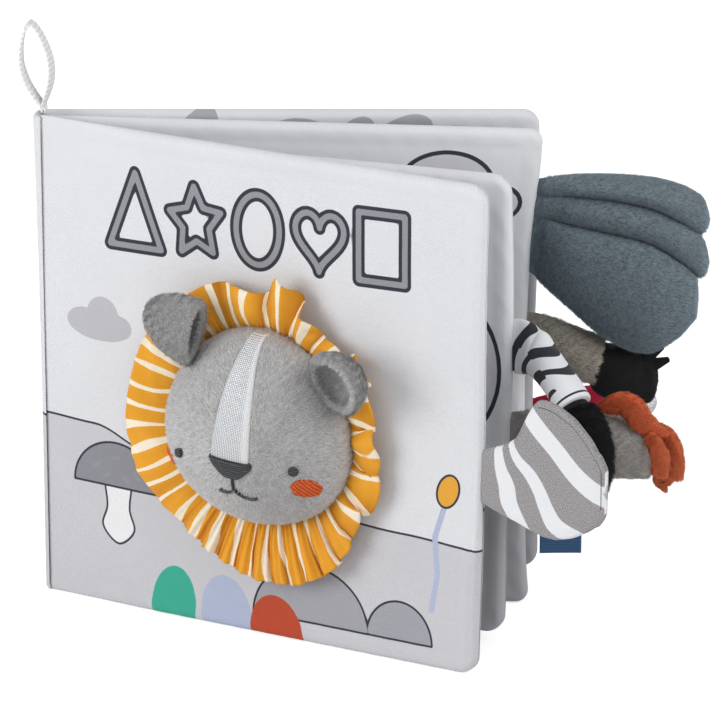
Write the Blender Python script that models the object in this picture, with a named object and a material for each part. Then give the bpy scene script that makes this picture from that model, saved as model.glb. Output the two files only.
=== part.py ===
"""Crinkle cloth book, in metres, +Z up.

Two padded covers and two padded pages fan out from a fabric spine. A stuffed lion head in a
gathered mane sits on the front cover, and soft tails, a label and a hanging loop are sewn into
the seams. The origin is the centre of the spine's foot, +X runs along the back cover towards
its fore-edge, and -Y is the side that the front cover faces.
"""

from dataclasses import dataclass

import bmesh
import bpy
import numpy as np

# Clearance between pieces that touch on the real book
GAP = 0.0003

# Leaves
COVER_WIDTH = 0.181
COVER_HEIGHT = 0.183
BACK_COVER_SETBACK = 0.001
BACK_COVER_RISE = 0.0045
FRONT_COVER_FALL = 0.0017
PAGE_TWO_SETBACK = 0.002
PAGE_TWO_DROP = 0.0015
PAGE_TWO_WIDTH = COVER_WIDTH - PAGE_TWO_SETBACK
PAGE_TWO_HEIGHT = COVER_HEIGHT - PAGE_TWO_DROP
PAGE_ONE_SETBACK = 0.003
PAGE_ONE_DROP = 0.007
PAGE_ONE_FOOT = 0.0025
PAGE_ONE_RISE = 0.0013
PAGE_ONE_WIDTH = COVER_WIDTH - PAGE_ONE_SETBACK
PAGE_ONE_HEIGHT = COVER_HEIGHT - PAGE_ONE_DROP - PAGE_ONE_FOOT
EDGE_SWAY = 0.003
LEAF_HALF = 0.003
ROOT_HALF = 0.001
TAPER = 0.055
RIM = 0.003
CORNER = 0.007
TIGHT_CORNER = 0.005
FABRIC = 0.0012
POCKET_INSET = 0.0075
SPINE_PITCH = 0.0028
PAGE_TWO_ANGLE = 6.0
PAGE_ONE_ANGLE = 19.0
FRONT_COVER_ANGLE = 29.0

# Inset from the edge as a share of RIM, with the share of the full height reached there
EDGE_SHARES = ((1.0, 1.0), (0.4, 0.9), (0.1, 0.62), (0.0, 0.25))
FOOT_SHARES = ((0.0, 0.55), (0.25, 0.87), (1.0, 1.0))
ROOT_SHARES = (-0.97, -0.7)
TAPER_SHARES = (0.0, 0.2, 0.4, 0.6, 0.8, 1.0)
MIDDLE_SHARES = (0.2, 0.42, 0.64, 0.8, 0.91)

# How far the sewn and stuffed fore-edges sway out or in, as shares of EDGE_SWAY at these shares of
# the leaf's height
SWAY_HEIGHT_SHARES = (0.0, 0.1, 0.25, 0.45, 0.65, 0.8, 0.9, 1.0)
BACK_COVER_SWAY_SHARES = (0.53, 0.47, -0.13, -0.37, -0.03, 0.0, 0.07, 0.07)
PAGE_TWO_SWAY_SHARES = (-0.17, -0.6, -0.8, -0.93, -0.7, -0.2, 0.53, 1.0)
PAGE_ONE_SWAY_SHARES = (-0.33, -0.27, -0.17, 0.2, 0.37, 0.33, 0.17, 0.03)
FRONT_COVER_SWAY_SHARES = (-0.13, -0.1, 0.03, 0.13, 0.1, 0.17, 0.33, 0.4)

# Fillings of a leaf
FILM = 0.0004
FILM_CREASE = 0.00025
FILM_CREASES = 9
PADDING = 0.0018

# Spine, hanging loop and label
BAND_THICKNESS = 0.0012
HINGE_X = BAND_THICKNESS / 2 + GAP + ROOT_HALF
LOOP_TAPE = 0.0011
LOOP_TAPE_WIDTH = 0.008
LOOP_HEIGHT = 0.0318
LOOP_HALF_WIDTH = 0.0058
LOOP_LEAN = 0.0042
LOOP_ROOT_HALF = LOOP_TAPE / 2 + GAP / 2
LOOP_ROOT_DROP = 0.0009
LOOP_PIVOT_RISE = 0.0016
LOOP_STEPS = 36
LABEL_LENGTH = 0.0143
LABEL_HEIGHT = 0.0088
LABEL_THICKNESS = 0.0012
LABEL_MIDDLE = 0.0153

# Lion head
HEAD_U = 0.0960
HEAD_Z = 0.0832
HEAD_ROLL = 4.0
HEAD_HALF_WIDTH = 0.0368
HEAD_HALF_HEIGHT = 0.0360
HEAD_DEPTH = 0.0255
HEAD_EGG_SHARE = 0.09
HEAD_UNDERCUT = 20.0
HEAD_CROWN = 88.0
HEAD_ROUND_SHARE = 0.85
HEAD_WALL = 0.0015
HEAD_SIDES = 30
MUZZLE_LIFT = 0.0035
MUZZLE_DROP = 0.012
MUZZLE_REACH = 0.013
PATCH_GAP = 0.00045
PATCH_THICKNESS = 0.0006
OVAL_END_SHARE = 0.9
BRIDGE_TOP_HALF = 0.0024
BRIDGE_FOOT_HALF = 0.0072
NOSE_HALF_WIDTH = 0.0085
NOSE_TOP = -0.0064
NOSE_HEIGHT = 0.0072
MOUTH_LINE = 0.0009
MOUTH_STEM = 0.0045
MOUTH_REACH = 0.0088
MOUTH_DIP = 0.0022
EYE_RADIUS = 0.0018
EYE_SIDE = 0.0230
EYE_HEIGHT = -0.0075
LEFT_EYE_DROP = 0.0030
CHEEK_SIDE = 0.0268
CHEEK_HEIGHT = -0.0138
LEFT_CHEEK_DROP = 0.0022
CHEEK_HALF_WIDTH = 0.0046
CHEEK_HALF_HEIGHT = 0.0034
EAR_WALL = 0.0028
EAR_SIDES = 20
EAR_OUT = 0.0180
EAR_BOTTOM = 8.0
LEFT_EAR_SIDE = -0.0222
LEFT_EAR_UP = 0.0331
LEFT_EAR_HALF_HEIGHT = 0.0125
LEFT_EAR_HALF_WIDTH = 0.0078
LEFT_EAR_DEPTH = 0.0170
LEFT_EAR_FACING = 74.0
LEFT_EAR_DROOP = 8.0
RIGHT_EAR_SIDE = 0.0312
RIGHT_EAR_UP = 0.0258
RIGHT_EAR_HALF_HEIGHT = 0.0118
RIGHT_EAR_HALF_WIDTH = 0.0108
RIGHT_EAR_DEPTH = 0.0090
RIGHT_EAR_FACING = -22.0
RIGHT_EAR_DROOP = 22.0

# Mane
MANE_DEPTH = 0.0170
MANE_CLOTH = 0.0012
MANE_FOLDS = 22
MANE_FOLD_HEIGHT = 0.0062
MANE_LIFT = 0.0008
MANE_INNER_GAP = 0.0008
MANE_STEPS = 132
MANE_WANDER_SHARE = 0.06
MANE_DEPTH_SHARES = (0.0, 0.35, 0.7, 1.0)

# Tails
TAIL_SETBACK = 0.0020
TAIL_ROOT_HALF = 0.0016
TAIL_WALL = 0.0013
TAIL_SIDES = 14
STUFFING_GAP = 0.0008
NECK_DEPTH = 0.0018
LEAF_TAIL_ROOT_Z = 0.0755
LEAF_TAIL_LENGTH = 0.0464
LEAF_TAIL_REACH = 0.0300
LEAF_TAIL_HALF = 0.0021
LEAF_TAIL_RIM = 0.0030
ZEBRA_TAIL_ROOT_Z = 0.1130
ZEBRA_TAIL_LENGTH = 0.0235
ZEBRA_TAIL_HALF_HEIGHT = 0.0088
ZEBRA_TAIL_HALF_THICKNESS = 0.0068
ZEBRA_TUFT_LENGTH = 0.0370
ZEBRA_TUFT_HALF = 0.0096
GREY_TAIL_ROOT_Z = 0.0785
GREY_TAIL_LENGTH = 0.0490
GREY_TAIL_HALF_HEIGHT = 0.0118
GREY_TAIL_HALF_THICKNESS = 0.0092
STRIP_HALF_DEPTH = 0.0028
STRIP_HALF_WIDTH = 0.0042
PLUME_ROOT_Z = 0.1460
PLUME_LENGTH = 0.0610
PLUME_HALF_THICKNESS = 0.0096
PLUME_SLANT_SHARE = 0.08
BROWN_TAIL_ROOT_Z = 0.1010
BROWN_TAIL_LENGTH = 0.0245
BROWN_TAIL_HALF_HEIGHT = 0.0116
BROWN_TAIL_HALF_THICKNESS = 0.0088
TASSEL_LENGTH = 0.0215
TASSEL_HALF_HEIGHT = 0.0118
TASSEL_HALF_THICKNESS = 0.0080
RED_TAIL_ROOT_Z = 0.0690
RED_TAIL_LENGTH = 0.0235
RED_TAIL_HALF_HEIGHT = 0.0044
RED_TIP_LENGTH = 0.0215
RED_TIP_HALF_HEIGHT = 0.0056


@dataclass
class Leaf:
    """One padded leaf: its size and place, the radius of its fore corners, how its fore-edge sways,
    and how much higher its foot and lower its top are there."""

    name: str
    width: float
    height: float
    angle: float
    hinge_y: float
    corner: float
    sway_shares: tuple
    foot: float = 0
    rise: float = 0
    fall: float = 0

    def sway(self, z):
        """How far the fore-edge lies out at the height z."""
        share = (z - self.foot) / self.height
        return EDGE_SWAY * np.interp(share, SWAY_HEIGHT_SHARES, self.sway_shares)

    def edge_at(self, z):
        """Distance from the hinge to the fore-edge at the height z."""
        return self.width + self.sway(z)


BACK_COVER = Leaf(
    "back_cover",
    COVER_WIDTH - BACK_COVER_SETBACK,
    COVER_HEIGHT,
    0,
    SPINE_PITCH * 3 / 2,
    TIGHT_CORNER,
    BACK_COVER_SWAY_SHARES,
    rise=BACK_COVER_RISE,
)
PAGE_TWO = Leaf(
    "page_two",
    PAGE_TWO_WIDTH,
    PAGE_TWO_HEIGHT,
    PAGE_TWO_ANGLE,
    SPINE_PITCH / 2,
    TIGHT_CORNER,
    PAGE_TWO_SWAY_SHARES,
)
PAGE_ONE = Leaf(
    "page_one",
    PAGE_ONE_WIDTH,
    PAGE_ONE_HEIGHT,
    PAGE_ONE_ANGLE,
    -SPINE_PITCH / 2,
    CORNER,
    PAGE_ONE_SWAY_SHARES,
    foot=PAGE_ONE_FOOT,
    rise=PAGE_ONE_RISE,
)
FRONT_COVER = Leaf(
    "front_cover",
    COVER_WIDTH,
    COVER_HEIGHT,
    FRONT_COVER_ANGLE,
    -SPINE_PITCH * 3 / 2,
    CORNER,
    FRONT_COVER_SWAY_SHARES,
    fall=FRONT_COVER_FALL,
)


def clear_scene():
    """Remove whatever the file opened with."""
    for old in list(bpy.data.objects):
        bpy.data.objects.remove(old, do_unlink=True)


def cloth(name, colour, roughness=0.9):
    """A matt fabric material of one sRGB colour."""
    material = bpy.data.materials.new(name)
    material.use_nodes = True
    shader = material.node_tree.nodes["Principled BSDF"]
    linear = [((c + 0.055) / 1.055) ** 2.4 for c in colour]
    shader.inputs["Base Color"].default_value = (*linear, 1)
    shader.inputs["Roughness"].default_value = roughness
    shader.inputs["Metallic"].default_value = 0
    material.diffuse_color = (*linear, 1)
    return material


def empty(name, place, parent=None, turn=0):
    """An empty that stands on a joint's axis and carries what turns about it."""
    axis = bpy.data.objects.new(name, None)
    bpy.context.collection.objects.link(axis)
    axis.location = place
    axis.rotation_euler = (0, 0, np.radians(turn))
    axis.parent = parent
    return axis


def add_body(name, vertices, faces, material, parent):
    """A closed mesh with its faces turned outwards, as a node of the book."""
    mesh = bpy.data.meshes.new(name)
    mesh.from_pydata([tuple(v) for v in vertices], [], faces)
    shape = bmesh.new()
    shape.from_mesh(mesh)
    bmesh.ops.recalc_face_normals(shape, faces=shape.faces)
    shape.to_mesh(mesh)
    shape.free()
    mesh.shade_smooth()
    mesh.set_sharp_from_angle(angle=np.radians(50))
    mesh.materials.append(material)
    body = bpy.data.objects.new(name, mesh)
    bpy.context.collection.objects.link(body)
    body.parent = parent
    return body


def slab(name, front, back, material, parent):
    """A closed sheet between two grids of points with the same rows and columns."""
    rows, columns = front.shape[:2]
    step = rows * columns
    quads = []
    for i in range(rows - 1):
        for j in range(columns - 1):
            a = i * columns + j
            quads.append((a, a + 1, a + columns + 1, a + columns))
            quads.append((a + step, a + columns + step, a + columns + 1 + step, a + 1 + step))
    rim = list(range(columns))
    rim += [i * columns + columns - 1 for i in range(1, rows)]
    rim += [(rows - 1) * columns + j for j in range(columns - 2, -1, -1)]
    rim += [i * columns for i in range(rows - 2, 0, -1)]
    for a, b in zip(rim, rim[1:] + rim[:1]):
        quads.append((b, a, a + step, b + step))
    points = np.concatenate([front.reshape(-1, 3), back.reshape(-1, 3)])
    return add_body(name, points, quads, material, parent)


def loft(name, rings, material, parent):
    """A closed skin over rings of points, with a flat cap on the first and the last ring."""
    count, sides = rings.shape[:2]
    faces = [tuple(range(sides)), tuple(range((count - 1) * sides, count * sides))]
    for i in range(count - 1):
        for j in range(sides):
            k = (j + 1) % sides
            a, b = i * sides, (i + 1) * sides
            faces.append((a + j, a + k, b + k, b + j))
    return add_body(name, rings.reshape(-1, 3), faces, material, parent)


def turn(x, y, degrees):
    """The point or points (x, y) turned anticlockwise."""
    c, s = np.cos(np.radians(degrees)), np.sin(np.radians(degrees))
    return x * c - y * s, x * s + y * c


def leaf_half(u):
    """Half the leaf's thickness at the distance u from its hinge: round at the root, then thin,
    and swelling smoothly to the padded part."""
    t = np.clip(u / TAPER, 0, 1)
    padded = ROOT_HALF + (LEAF_HALF - ROOT_HALF) * t * t * (3 - 2 * t)
    round_root = np.sqrt(np.clip(ROOT_HALF**2 - np.minimum(u, 0) ** 2, 0, None))
    return np.where(u < 0, round_root, padded)


def leaf_panel(leaf, name, side, material, parent):
    """One fabric face of a leaf: a shallow tray whose rim turns in to the seam."""
    inset_of = [POCKET_INSET] + [RIM * inset for inset, _ in EDGE_SHARES]
    lift_of = [1.0] + [lift for _, lift in EDGE_SHARES]
    u = [ROOT_HALF * share for share in ROOT_SHARES] + [TAPER * share for share in TAPER_SHARES]
    solid_columns = len(u) - 2
    u = np.array(u + [leaf.width - inset for inset in inset_of])
    lift_u = np.array([1.0] * (len(u) - len(lift_of)) + lift_of)
    corner = np.clip(leaf.corner - (leaf.width - u), 0, leaf.corner)
    drop = leaf.corner - np.sqrt(leaf.corner**2 - corner**2)
    share = np.clip(u / leaf.width, 0, 1)[:, None]

    low = np.array([RIM * inset for inset, _ in FOOT_SHARES] + [POCKET_INSET])
    lift_low = np.array([lift for _, lift in FOOT_SHARES] + [1.0])
    low_z = leaf.foot + leaf.rise * share + drop[:, None] + low[None, :]
    top_z = leaf.foot + leaf.height - leaf.fall * share
    high_z = top_z - drop[:, None] - np.array(inset_of)[None, :]
    middle = np.array(MIDDLE_SHARES)[None, :]
    middle_z = low_z[:, -1:] * (1 - middle) + high_z[:, :1] * middle
    z = np.concatenate([low_z, middle_z, high_z], axis=1)
    lift_z = np.concatenate([lift_low, np.ones(len(MIDDLE_SHARES)), lift_of])

    lift = lift_u[:, None] * lift_z[None, :]
    half = leaf_half(u)[:, None] * np.ones_like(z)
    outer = GAP / 2 + (half - GAP / 2) * lift
    inner = np.full_like(z, GAP / 2)
    pocket = np.s_[solid_columns : len(u) - len(EDGE_SHARES), len(FOOT_SHARES) : -len(EDGE_SHARES)]
    inner[pocket] = half[pocket] - FABRIC

    x = u[:, None] + leaf.sway(z) * share
    skin = np.stack([x, side * outer, z], axis=-1)
    lining = np.stack([x, side * inner, z], axis=-1)
    return slab(name, skin, lining, material, parent)


def leaf_filling(leaf, parent, film_material, padding_material):
    """The crackling film and the padding that lie in the pocket between a leaf's two faces."""
    start = TAPER + GAP
    end = leaf.width + EDGE_SWAY * min(leaf.sway_shares) - POCKET_INSET - GAP
    low = leaf.foot + leaf.rise + POCKET_INSET + GAP
    high = leaf.foot + leaf.height - leaf.fall - POCKET_INSET - GAP
    pocket_half = LEAF_HALF - FABRIC

    u = np.linspace(start, end, FILM_CREASES + 1)
    z = np.array([low, high])
    crease = FILM_CREASE * np.where(np.arange(len(u)) % 2, 1, -1)
    middle = -(pocket_half - GAP - FILM_CREASE - FILM / 2)
    grid = np.stack(np.broadcast_arrays(u[:, None], (middle + crease)[:, None], z[None, :]), axis=-1)
    thickness = np.array([0, FILM / 2, 0])
    slab(f"{leaf.name}_film", grid - thickness, grid + thickness, film_material, parent)

    u = np.array([start, end])
    back = pocket_half - GAP
    grid = np.stack(np.broadcast_arrays(u[:, None], back, z[None, :]), axis=-1)
    thickness = np.array([0, PADDING, 0])
    slab(f"{leaf.name}_padding", grid - thickness, grid, padding_material, parent)


def sew_leaf(leaf, parent, front, back, face_material, back_material):
    """A whole leaf: its two faces, its crackling film and its padding."""
    leaf_panel(leaf, f"{leaf.name}_{front}", -1, face_material, parent)
    leaf_panel(leaf, f"{leaf.name}_{back}", 1, back_material, parent)
    leaf_filling(leaf, parent, CRACKLE_FILM, WADDING)


def spine_band(parent):
    """The strip of cover fabric that closes the spine behind the four leaves. It carries the
    origin at the middle of its foot."""
    depth = SPINE_PITCH * 3 / 2 + ROOT_HALF
    y = np.linspace(-depth, depth, 5) - BACK_COVER.hinge_y
    z = np.array([0, COVER_HEIGHT - CORNER / 2])
    front = BAND_THICKNESS / 2 - HINGE_X
    grid = np.stack(np.broadcast_arrays(front, y[:, None], z[None, :]), axis=-1)
    thickness = np.array([BAND_THICKNESS, 0, 0])
    slab("spine_band", grid, grid - thickness, COVER_CLOTH, parent)


# Half the hanging loop from its sewn end to its top: half width and height, as shares of the
# loop's own
LOOP_HALF_WIDTH_SHARES = (0.16, 0.42, 0.80, 1.0, 0.95, 0.72, 0.38, 0.13, 0.0)
LOOP_HEIGHT_SHARES = (0.05, 0.13, 0.28, 0.46, 0.62, 0.79, 0.93, 0.985, 1.0)


def hanging_loop(parent):
    """A loop of ribbed tape with both ends sewn into the top of the spine. It is slim at its
    ends, widest in the middle and pinched at the top."""
    width = LOOP_HALF_WIDTH * np.array(LOOP_HALF_WIDTH_SHARES)
    height = LOOP_HEIGHT * np.array(LOOP_HEIGHT_SHARES)
    width = np.concatenate([[LOOP_ROOT_HALF], width])
    height = np.concatenate([[-LOOP_ROOT_DROP], height])
    # The sewn ends lie side by side, never inside each other
    width[:3] = np.maximum(width[:3], LOOP_ROOT_HALF)
    half = np.stack([-width, height], axis=1)
    other = half[-2::-1] * np.array([-1, 1])
    path = smooth_route(np.concatenate([half, other]), LOOP_STEPS + 1)
    x = path[:, 0] - LOOP_LEAN * path[:, 1] / LOOP_HEIGHT
    height = path[:, 1]
    along = np.stack([np.gradient(x), np.gradient(height)])
    along /= np.linalg.norm(along, axis=0)
    outward = np.stack([-along[1], along[0]]) * LOOP_TAPE / 2
    y = np.array([-LOOP_TAPE_WIDTH / 2, LOOP_TAPE_WIDTH / 2])
    sides = []
    for sign in (1, -1):
        across = (x + sign * outward[0])[:, None]
        up = (height + sign * outward[1])[:, None]
        sides.append(np.stack(np.broadcast_arrays(across, y, up), axis=-1))
    slab("hanging_loop", *sides, LOOP_TWILL, parent)


def edge_label(parent):
    """A folded woven tab sewn into the fore-edge of the back cover."""
    x = np.array([2 * GAP - TAIL_SETBACK, LABEL_LENGTH])
    z = np.array([-LABEL_HEIGHT / 2, LABEL_HEIGHT / 2])
    grid = np.stack(np.broadcast_arrays(x[:, None], -LABEL_THICKNESS / 2, z[None, :]), axis=-1)
    slab("edge_label", grid, grid + np.array([0, LABEL_THICKNESS, 0]), LABEL_WEAVE, parent)


def head_height(x, y, inset=0):
    """Height of the head's front over its base at the face point (x, y). The face is a dome on an
    egg outline, and the muzzle swells out round the nose."""
    width = (HEAD_HALF_WIDTH - inset) * (1 - HEAD_EGG_SHARE * y / HEAD_HALF_HEIGHT)
    reach = np.hypot(x / width, y / (HEAD_HALF_HEIGHT - inset))
    rise = np.sqrt(np.clip(1 - reach ** (2 / HEAD_ROUND_SHARE), 0, 1))
    under = np.sin(np.radians(HEAD_UNDERCUT))
    dome = (HEAD_DEPTH - inset) * (rise + under) / (1 + under)
    away = (x**2 + (y + MUZZLE_DROP) ** 2) / (2 * MUZZLE_REACH**2)
    return dome + MUZZLE_LIFT * rise * np.exp(-away)


def on_cover(x, y, height):
    """Face points (x, y) at a height over the cover, in the front cover's frame."""
    across, up = turn(x, y, -HEAD_ROLL)
    out = LEAF_HALF + GAP + height
    return np.stack(np.broadcast_arrays(HEAD_U + across, -out, HEAD_Z + up), axis=-1)


def head_rings(inset, levels, sides):
    """Rings of the head's skin, from its base to near the middle of the face."""
    under = np.radians(HEAD_UNDERCUT)
    tilt = np.linspace(-under, np.radians(HEAD_CROWN), levels)[:, None]
    angle = np.linspace(0, 2 * np.pi, sides, endpoint=False)[None, :]
    reach = np.cos(tilt) ** HEAD_ROUND_SHARE
    y = (HEAD_HALF_HEIGHT - inset) * reach * np.sin(angle)
    width = (HEAD_HALF_WIDTH - inset) * (1 - HEAD_EGG_SHARE * y / HEAD_HALF_HEIGHT)
    x = width * reach * np.cos(angle)
    dome = (HEAD_DEPTH - inset) * (np.sin(tilt) + np.sin(under)) / (1 + np.sin(under))
    away = (x**2 + (y + MUZZLE_DROP) ** 2) / (2 * MUZZLE_REACH**2)
    swell = MUZZLE_LIFT * np.exp(-away) * np.clip(np.sin(tilt), 0, 1)
    return x, y, dome + swell


def lion_head(parent):
    """The plush skin of the head, open at the back, and the stuffing inside it."""
    outer = on_cover(*head_rings(0, 9, HEAD_SIDES))
    inner = on_cover(*head_rings(HEAD_WALL, 7, HEAD_SIDES))
    skin = np.concatenate([outer[::-1], inner])
    loft("lion_head_cover", skin, HEAD_PLUSH, parent)
    x, y, height = head_rings(HEAD_WALL + GAP, 7, HEAD_SIDES)
    share = 1 - GAP / HEAD_DEPTH
    loft("lion_head_stuffing", on_cover(x * share, y * share, height * share), WADDING, parent)


def patch(name, material, parent, x, y):
    """A thin piece sewn on the face, over a grid of face points."""
    step = PATCH_GAP
    height = head_height(x, y)
    slope_x = (head_height(x + step, y) - head_height(x - step, y)) / (2 * step)
    slope_y = (head_height(x, y + step) - head_height(x, y - step)) / (2 * step)
    steep = np.sqrt(1 + slope_x**2 + slope_y**2)
    sides = []
    for out in (PATCH_GAP + PATCH_THICKNESS, PATCH_GAP):
        away = out / steep
        sides.append(on_cover(x - slope_x * away, y - slope_y * away, height + away))
    return slab(name, *sides, material, parent)


def oval_patch(name, material, parent, side, up, half_width, half_height, sides=10):
    """An oval patch, made of rows across whose ends follow the oval."""
    lift = np.sin(np.linspace(-np.pi / 2, np.pi / 2, sides // 2 + 1) * OVAL_END_SHARE)
    reach = np.sqrt(1 - lift**2)
    across = np.linspace(-1, 1, 4)
    x = side + half_width * reach[:, None] * across[None, :]
    y = up + half_height * lift[:, None] * np.ones_like(across)[None, :]
    return patch(name, material, parent, x, y)


# Heights of the bridge's rows over the head's middle, as shares of HEAD_HALF_HEIGHT, and the
# nose's rows as shares of its half width and its height
BRIDGE_HEIGHT_SHARES = (0.955, 0.90, 0.81, 0.69, 0.54, 0.37, 0.19, 0.0)
NOSE_HALF_SHARES = (0.94, 1.0, 0.72, 0.22)
NOSE_DROP_SHARES = (0.0, 0.22, 0.66, 1.0)


def lion_face(parent):
    """The glitter bridge, the nose, the mouth, the eyes and the cheeks."""
    across = np.linspace(-1, 1, 4)[None, :]
    bridge_foot = NOSE_TOP + PATCH_GAP
    y = HEAD_HALF_HEIGHT * np.array(BRIDGE_HEIGHT_SHARES)
    y = np.append(y, bridge_foot)[:, None]
    t = (y[0] - y) / (y[0] - y[-1])
    half = BRIDGE_TOP_HALF + (BRIDGE_FOOT_HALF - BRIDGE_TOP_HALF) * t
    patch("lion_nose_bridge", GLITTER_CLOTH, parent, half * across, y + 0 * across)

    half_shares = np.array(NOSE_HALF_SHARES)[:, None]
    drop_shares = np.array(NOSE_DROP_SHARES)[:, None]
    y = NOSE_TOP - NOSE_HEIGHT * drop_shares + 0 * across
    patch("lion_nose", NOSE_STITCH, parent, NOSE_HALF_WIDTH * half_shares * across, y)

    lip_y = NOSE_TOP - NOSE_HEIGHT - MOUTH_STEM
    t = np.linspace(-1, 1, 15)[:, None]
    bow = MOUTH_DIP * (1 - (2 * np.abs(t) - 1) ** 2)
    lip = lip_y - bow
    stem = np.exp(-((t * MOUTH_REACH / MOUTH_LINE) ** 2)) * (MOUTH_STEM - MOUTH_LINE - GAP)
    thickness = np.array([[0, MOUTH_LINE]])
    y = lip + thickness + stem * np.array([[0, 1]])
    patch("lion_mouth", NOSE_STITCH, parent, MOUTH_REACH * t + 0 * thickness, y)

    for name, side, eye_drop, cheek_drop in (
        ("left", -1, LEFT_EYE_DROP, LEFT_CHEEK_DROP),
        ("right", 1, 0, 0),
    ):
        oval_patch(
            f"lion_eye_{name}",
            NOSE_STITCH,
            parent,
            side * EYE_SIDE,
            EYE_HEIGHT - eye_drop,
            EYE_RADIUS,
            EYE_RADIUS,
        )
        oval_patch(
            f"lion_cheek_{name}",
            CHEEK_STITCH,
            parent,
            side * CHEEK_SIDE,
            CHEEK_HEIGHT - cheek_drop,
            CHEEK_HALF_WIDTH,
            CHEEK_HALF_HEIGHT,
        )


def lion_ear(name, side, up, half_height, half_width, depth, facing, droop, parent, cutter):
    """A cupped plush ear, cut where it meets the head. It opens towards the angle facing, turned
    from straight ahead to the right, and hangs down by the angle droop."""
    f, d = np.radians(facing), np.radians(droop)
    opening = np.array([np.sin(f) * np.cos(d), -np.sin(d), np.cos(f) * np.cos(d)])
    upward = np.array([np.sin(f) * np.sin(d), np.cos(d), np.cos(f) * np.sin(d)])
    sideward = np.array([np.cos(f), 0, -np.sin(f)])
    angle = np.linspace(0, 2 * np.pi, EAR_SIDES, endpoint=False)[None, :, None]
    tilt = np.linspace(np.radians(EAR_BOTTOM), np.pi / 2, 6)[:, None, None]

    def bowl(inset, tilts, ahead=0):
        around = (half_height - inset) * np.sin(angle) * upward
        around = around + (half_width - inset) * np.cos(angle) * sideward
        return around * np.sin(tilts) + opening * (ahead - (depth - inset) * np.cos(tilts))

    lip = bowl(EAR_WALL / 2, tilt[-1:], EAR_WALL / 4)
    cup = np.concatenate([bowl(0, tilt), lip, bowl(EAR_WALL, tilt[::-1])])
    rings = on_cover(side + cup[..., 0], up + cup[..., 1], EAR_OUT + cup[..., 2])
    ear = loft(name, rings, HEAD_PLUSH, parent)
    cut = ear.modifiers.new("seat_on_head", "BOOLEAN")
    cut.operation = "DIFFERENCE"
    cut.solver = "EXACT"
    cut.object = cutter
    return ear


def head_cutter(parent):
    """The head's outline grown by the clearance, used to seat the ears on it."""
    rings = on_cover(*head_rings(-GAP, 9, HEAD_SIDES))
    cutter = loft("head_cutter", rings, HEAD_PLUSH, parent)
    cutter.hide_render = True
    cutter.display_type = "WIRE"
    return cutter


def lion_mane(parent):
    """A strip of striped cloth gathered round the head. Its folds grow from the gathered edge to
    the free edge."""
    angle = np.linspace(0, 2 * np.pi, MANE_STEPS, endpoint=False)[:, None]
    t = np.array(MANE_DEPTH_SHARES)[None, :]
    base = np.cos(np.radians(HEAD_UNDERCUT)) ** HEAD_ROUND_SHARE
    up = HEAD_HALF_HEIGHT * np.sin(angle)
    width = HEAD_HALF_WIDTH * (1 - HEAD_EGG_SHARE * np.sin(angle))
    inner = base * np.hypot(width * np.cos(angle), up) + MANE_INNER_GAP
    wave = np.sin(MANE_FOLDS * angle + np.sin(3 * angle))
    wander = np.sin(2 * angle + 1) + np.sin(5 * angle)
    depth = MANE_DEPTH * (1 + MANE_WANDER_SHARE * (wander + wave / 2))
    radius = inner + depth * t
    height = MANE_LIFT * t + MANE_FOLD_HEIGHT * t * (1 + wave) / 2
    x, y = radius * np.cos(angle), radius * np.sin(angle)
    low = on_cover(x, y, height)
    high = on_cover(x, y, height + MANE_CLOTH)
    section = np.concatenate([low, high[:, ::-1]], axis=1)
    steps, sides = section.shape[:2]
    faces = []
    for i in range(steps):
        n = (i + 1) % steps
        for j in range(sides):
            k = (j + 1) % sides
            faces.append((i * sides + j, n * sides + j, n * sides + k, i * sides + k))
    add_body("lion_mane", section.reshape(-1, 3), faces, MANE_CLOTH_STRIPED, parent)


def scaled(shares, length, half_height, half_thickness):
    """A tail's route from shares of its length, its half height and its half thickness."""
    sizes = np.array([length, length, length, half_height, half_thickness])
    return np.array(shares) * sizes


def tail_rings(route, inset=0, sides=TAIL_SIDES, upright=False, slanted=False):
    """Oval rings along a tail's route, square to it or upright. Each point of the route is
    (along, forward, up, half height, half thickness) from the tail's hinge. A slanted tail
    follows the sway of page two's edge at its root."""
    points = np.array(route)
    along = np.gradient(points[:, :3], axis=0)
    if upright:
        along = along * np.array([1, 0, 0])
    along /= np.linalg.norm(along, axis=1)[:, None]
    forward = np.array([0, 1, 0]) - along[:, 1:2] * along
    forward /= np.linalg.norm(forward, axis=1)[:, None]
    upward = np.cross(along, forward)
    angle = np.linspace(0, 2 * np.pi, sides, endpoint=False)
    tall = np.maximum(points[:, 3] - inset, GAP)[:, None, None]
    thick = np.maximum(points[:, 4] - inset, GAP)[:, None, None]
    rings = points[:, None, :3] + upward[:, None, :] * tall * np.sin(angle)[None, :, None]
    rings = rings + forward[:, None, :] * thick * np.cos(angle)[None, :, None]
    if slanted:
        near_root = np.clip(1 - rings[..., 0] / PLUME_LENGTH, 0, 1)
        rings[..., 0] += PLUME_SLANT_SHARE * rings[..., 2] * near_root
    return rings * np.array([1, -1, 1])


def smooth_route(route, steps):
    """A route with more points, along a smooth curve through its own points."""
    points = np.array(route)
    knots = np.arange(len(points))
    slope = np.gradient(points, axis=0)
    at = np.linspace(0, len(points) - 1, steps)
    k = np.minimum(at.astype(int), len(points) - 2)
    t = (at - knots[k])[:, None]
    ahead = (3 - 2 * t) * t * t
    curve = points[k] * (1 - ahead) + points[k + 1] * ahead
    curve += slope[k] * t * (1 - t) ** 2 - slope[k + 1] * t * t * (1 - t)
    return curve


def sock(name, route, material, parent, **lie):
    """A stuffed tube's skin. It is closed at the route's start and open at its end."""
    outer = tail_rings(route, **lie)
    inner = tail_rings(route, TAIL_WALL, **lie)[1:]
    return loft(name, np.concatenate([outer, inner[::-1]]), material, parent)


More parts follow.
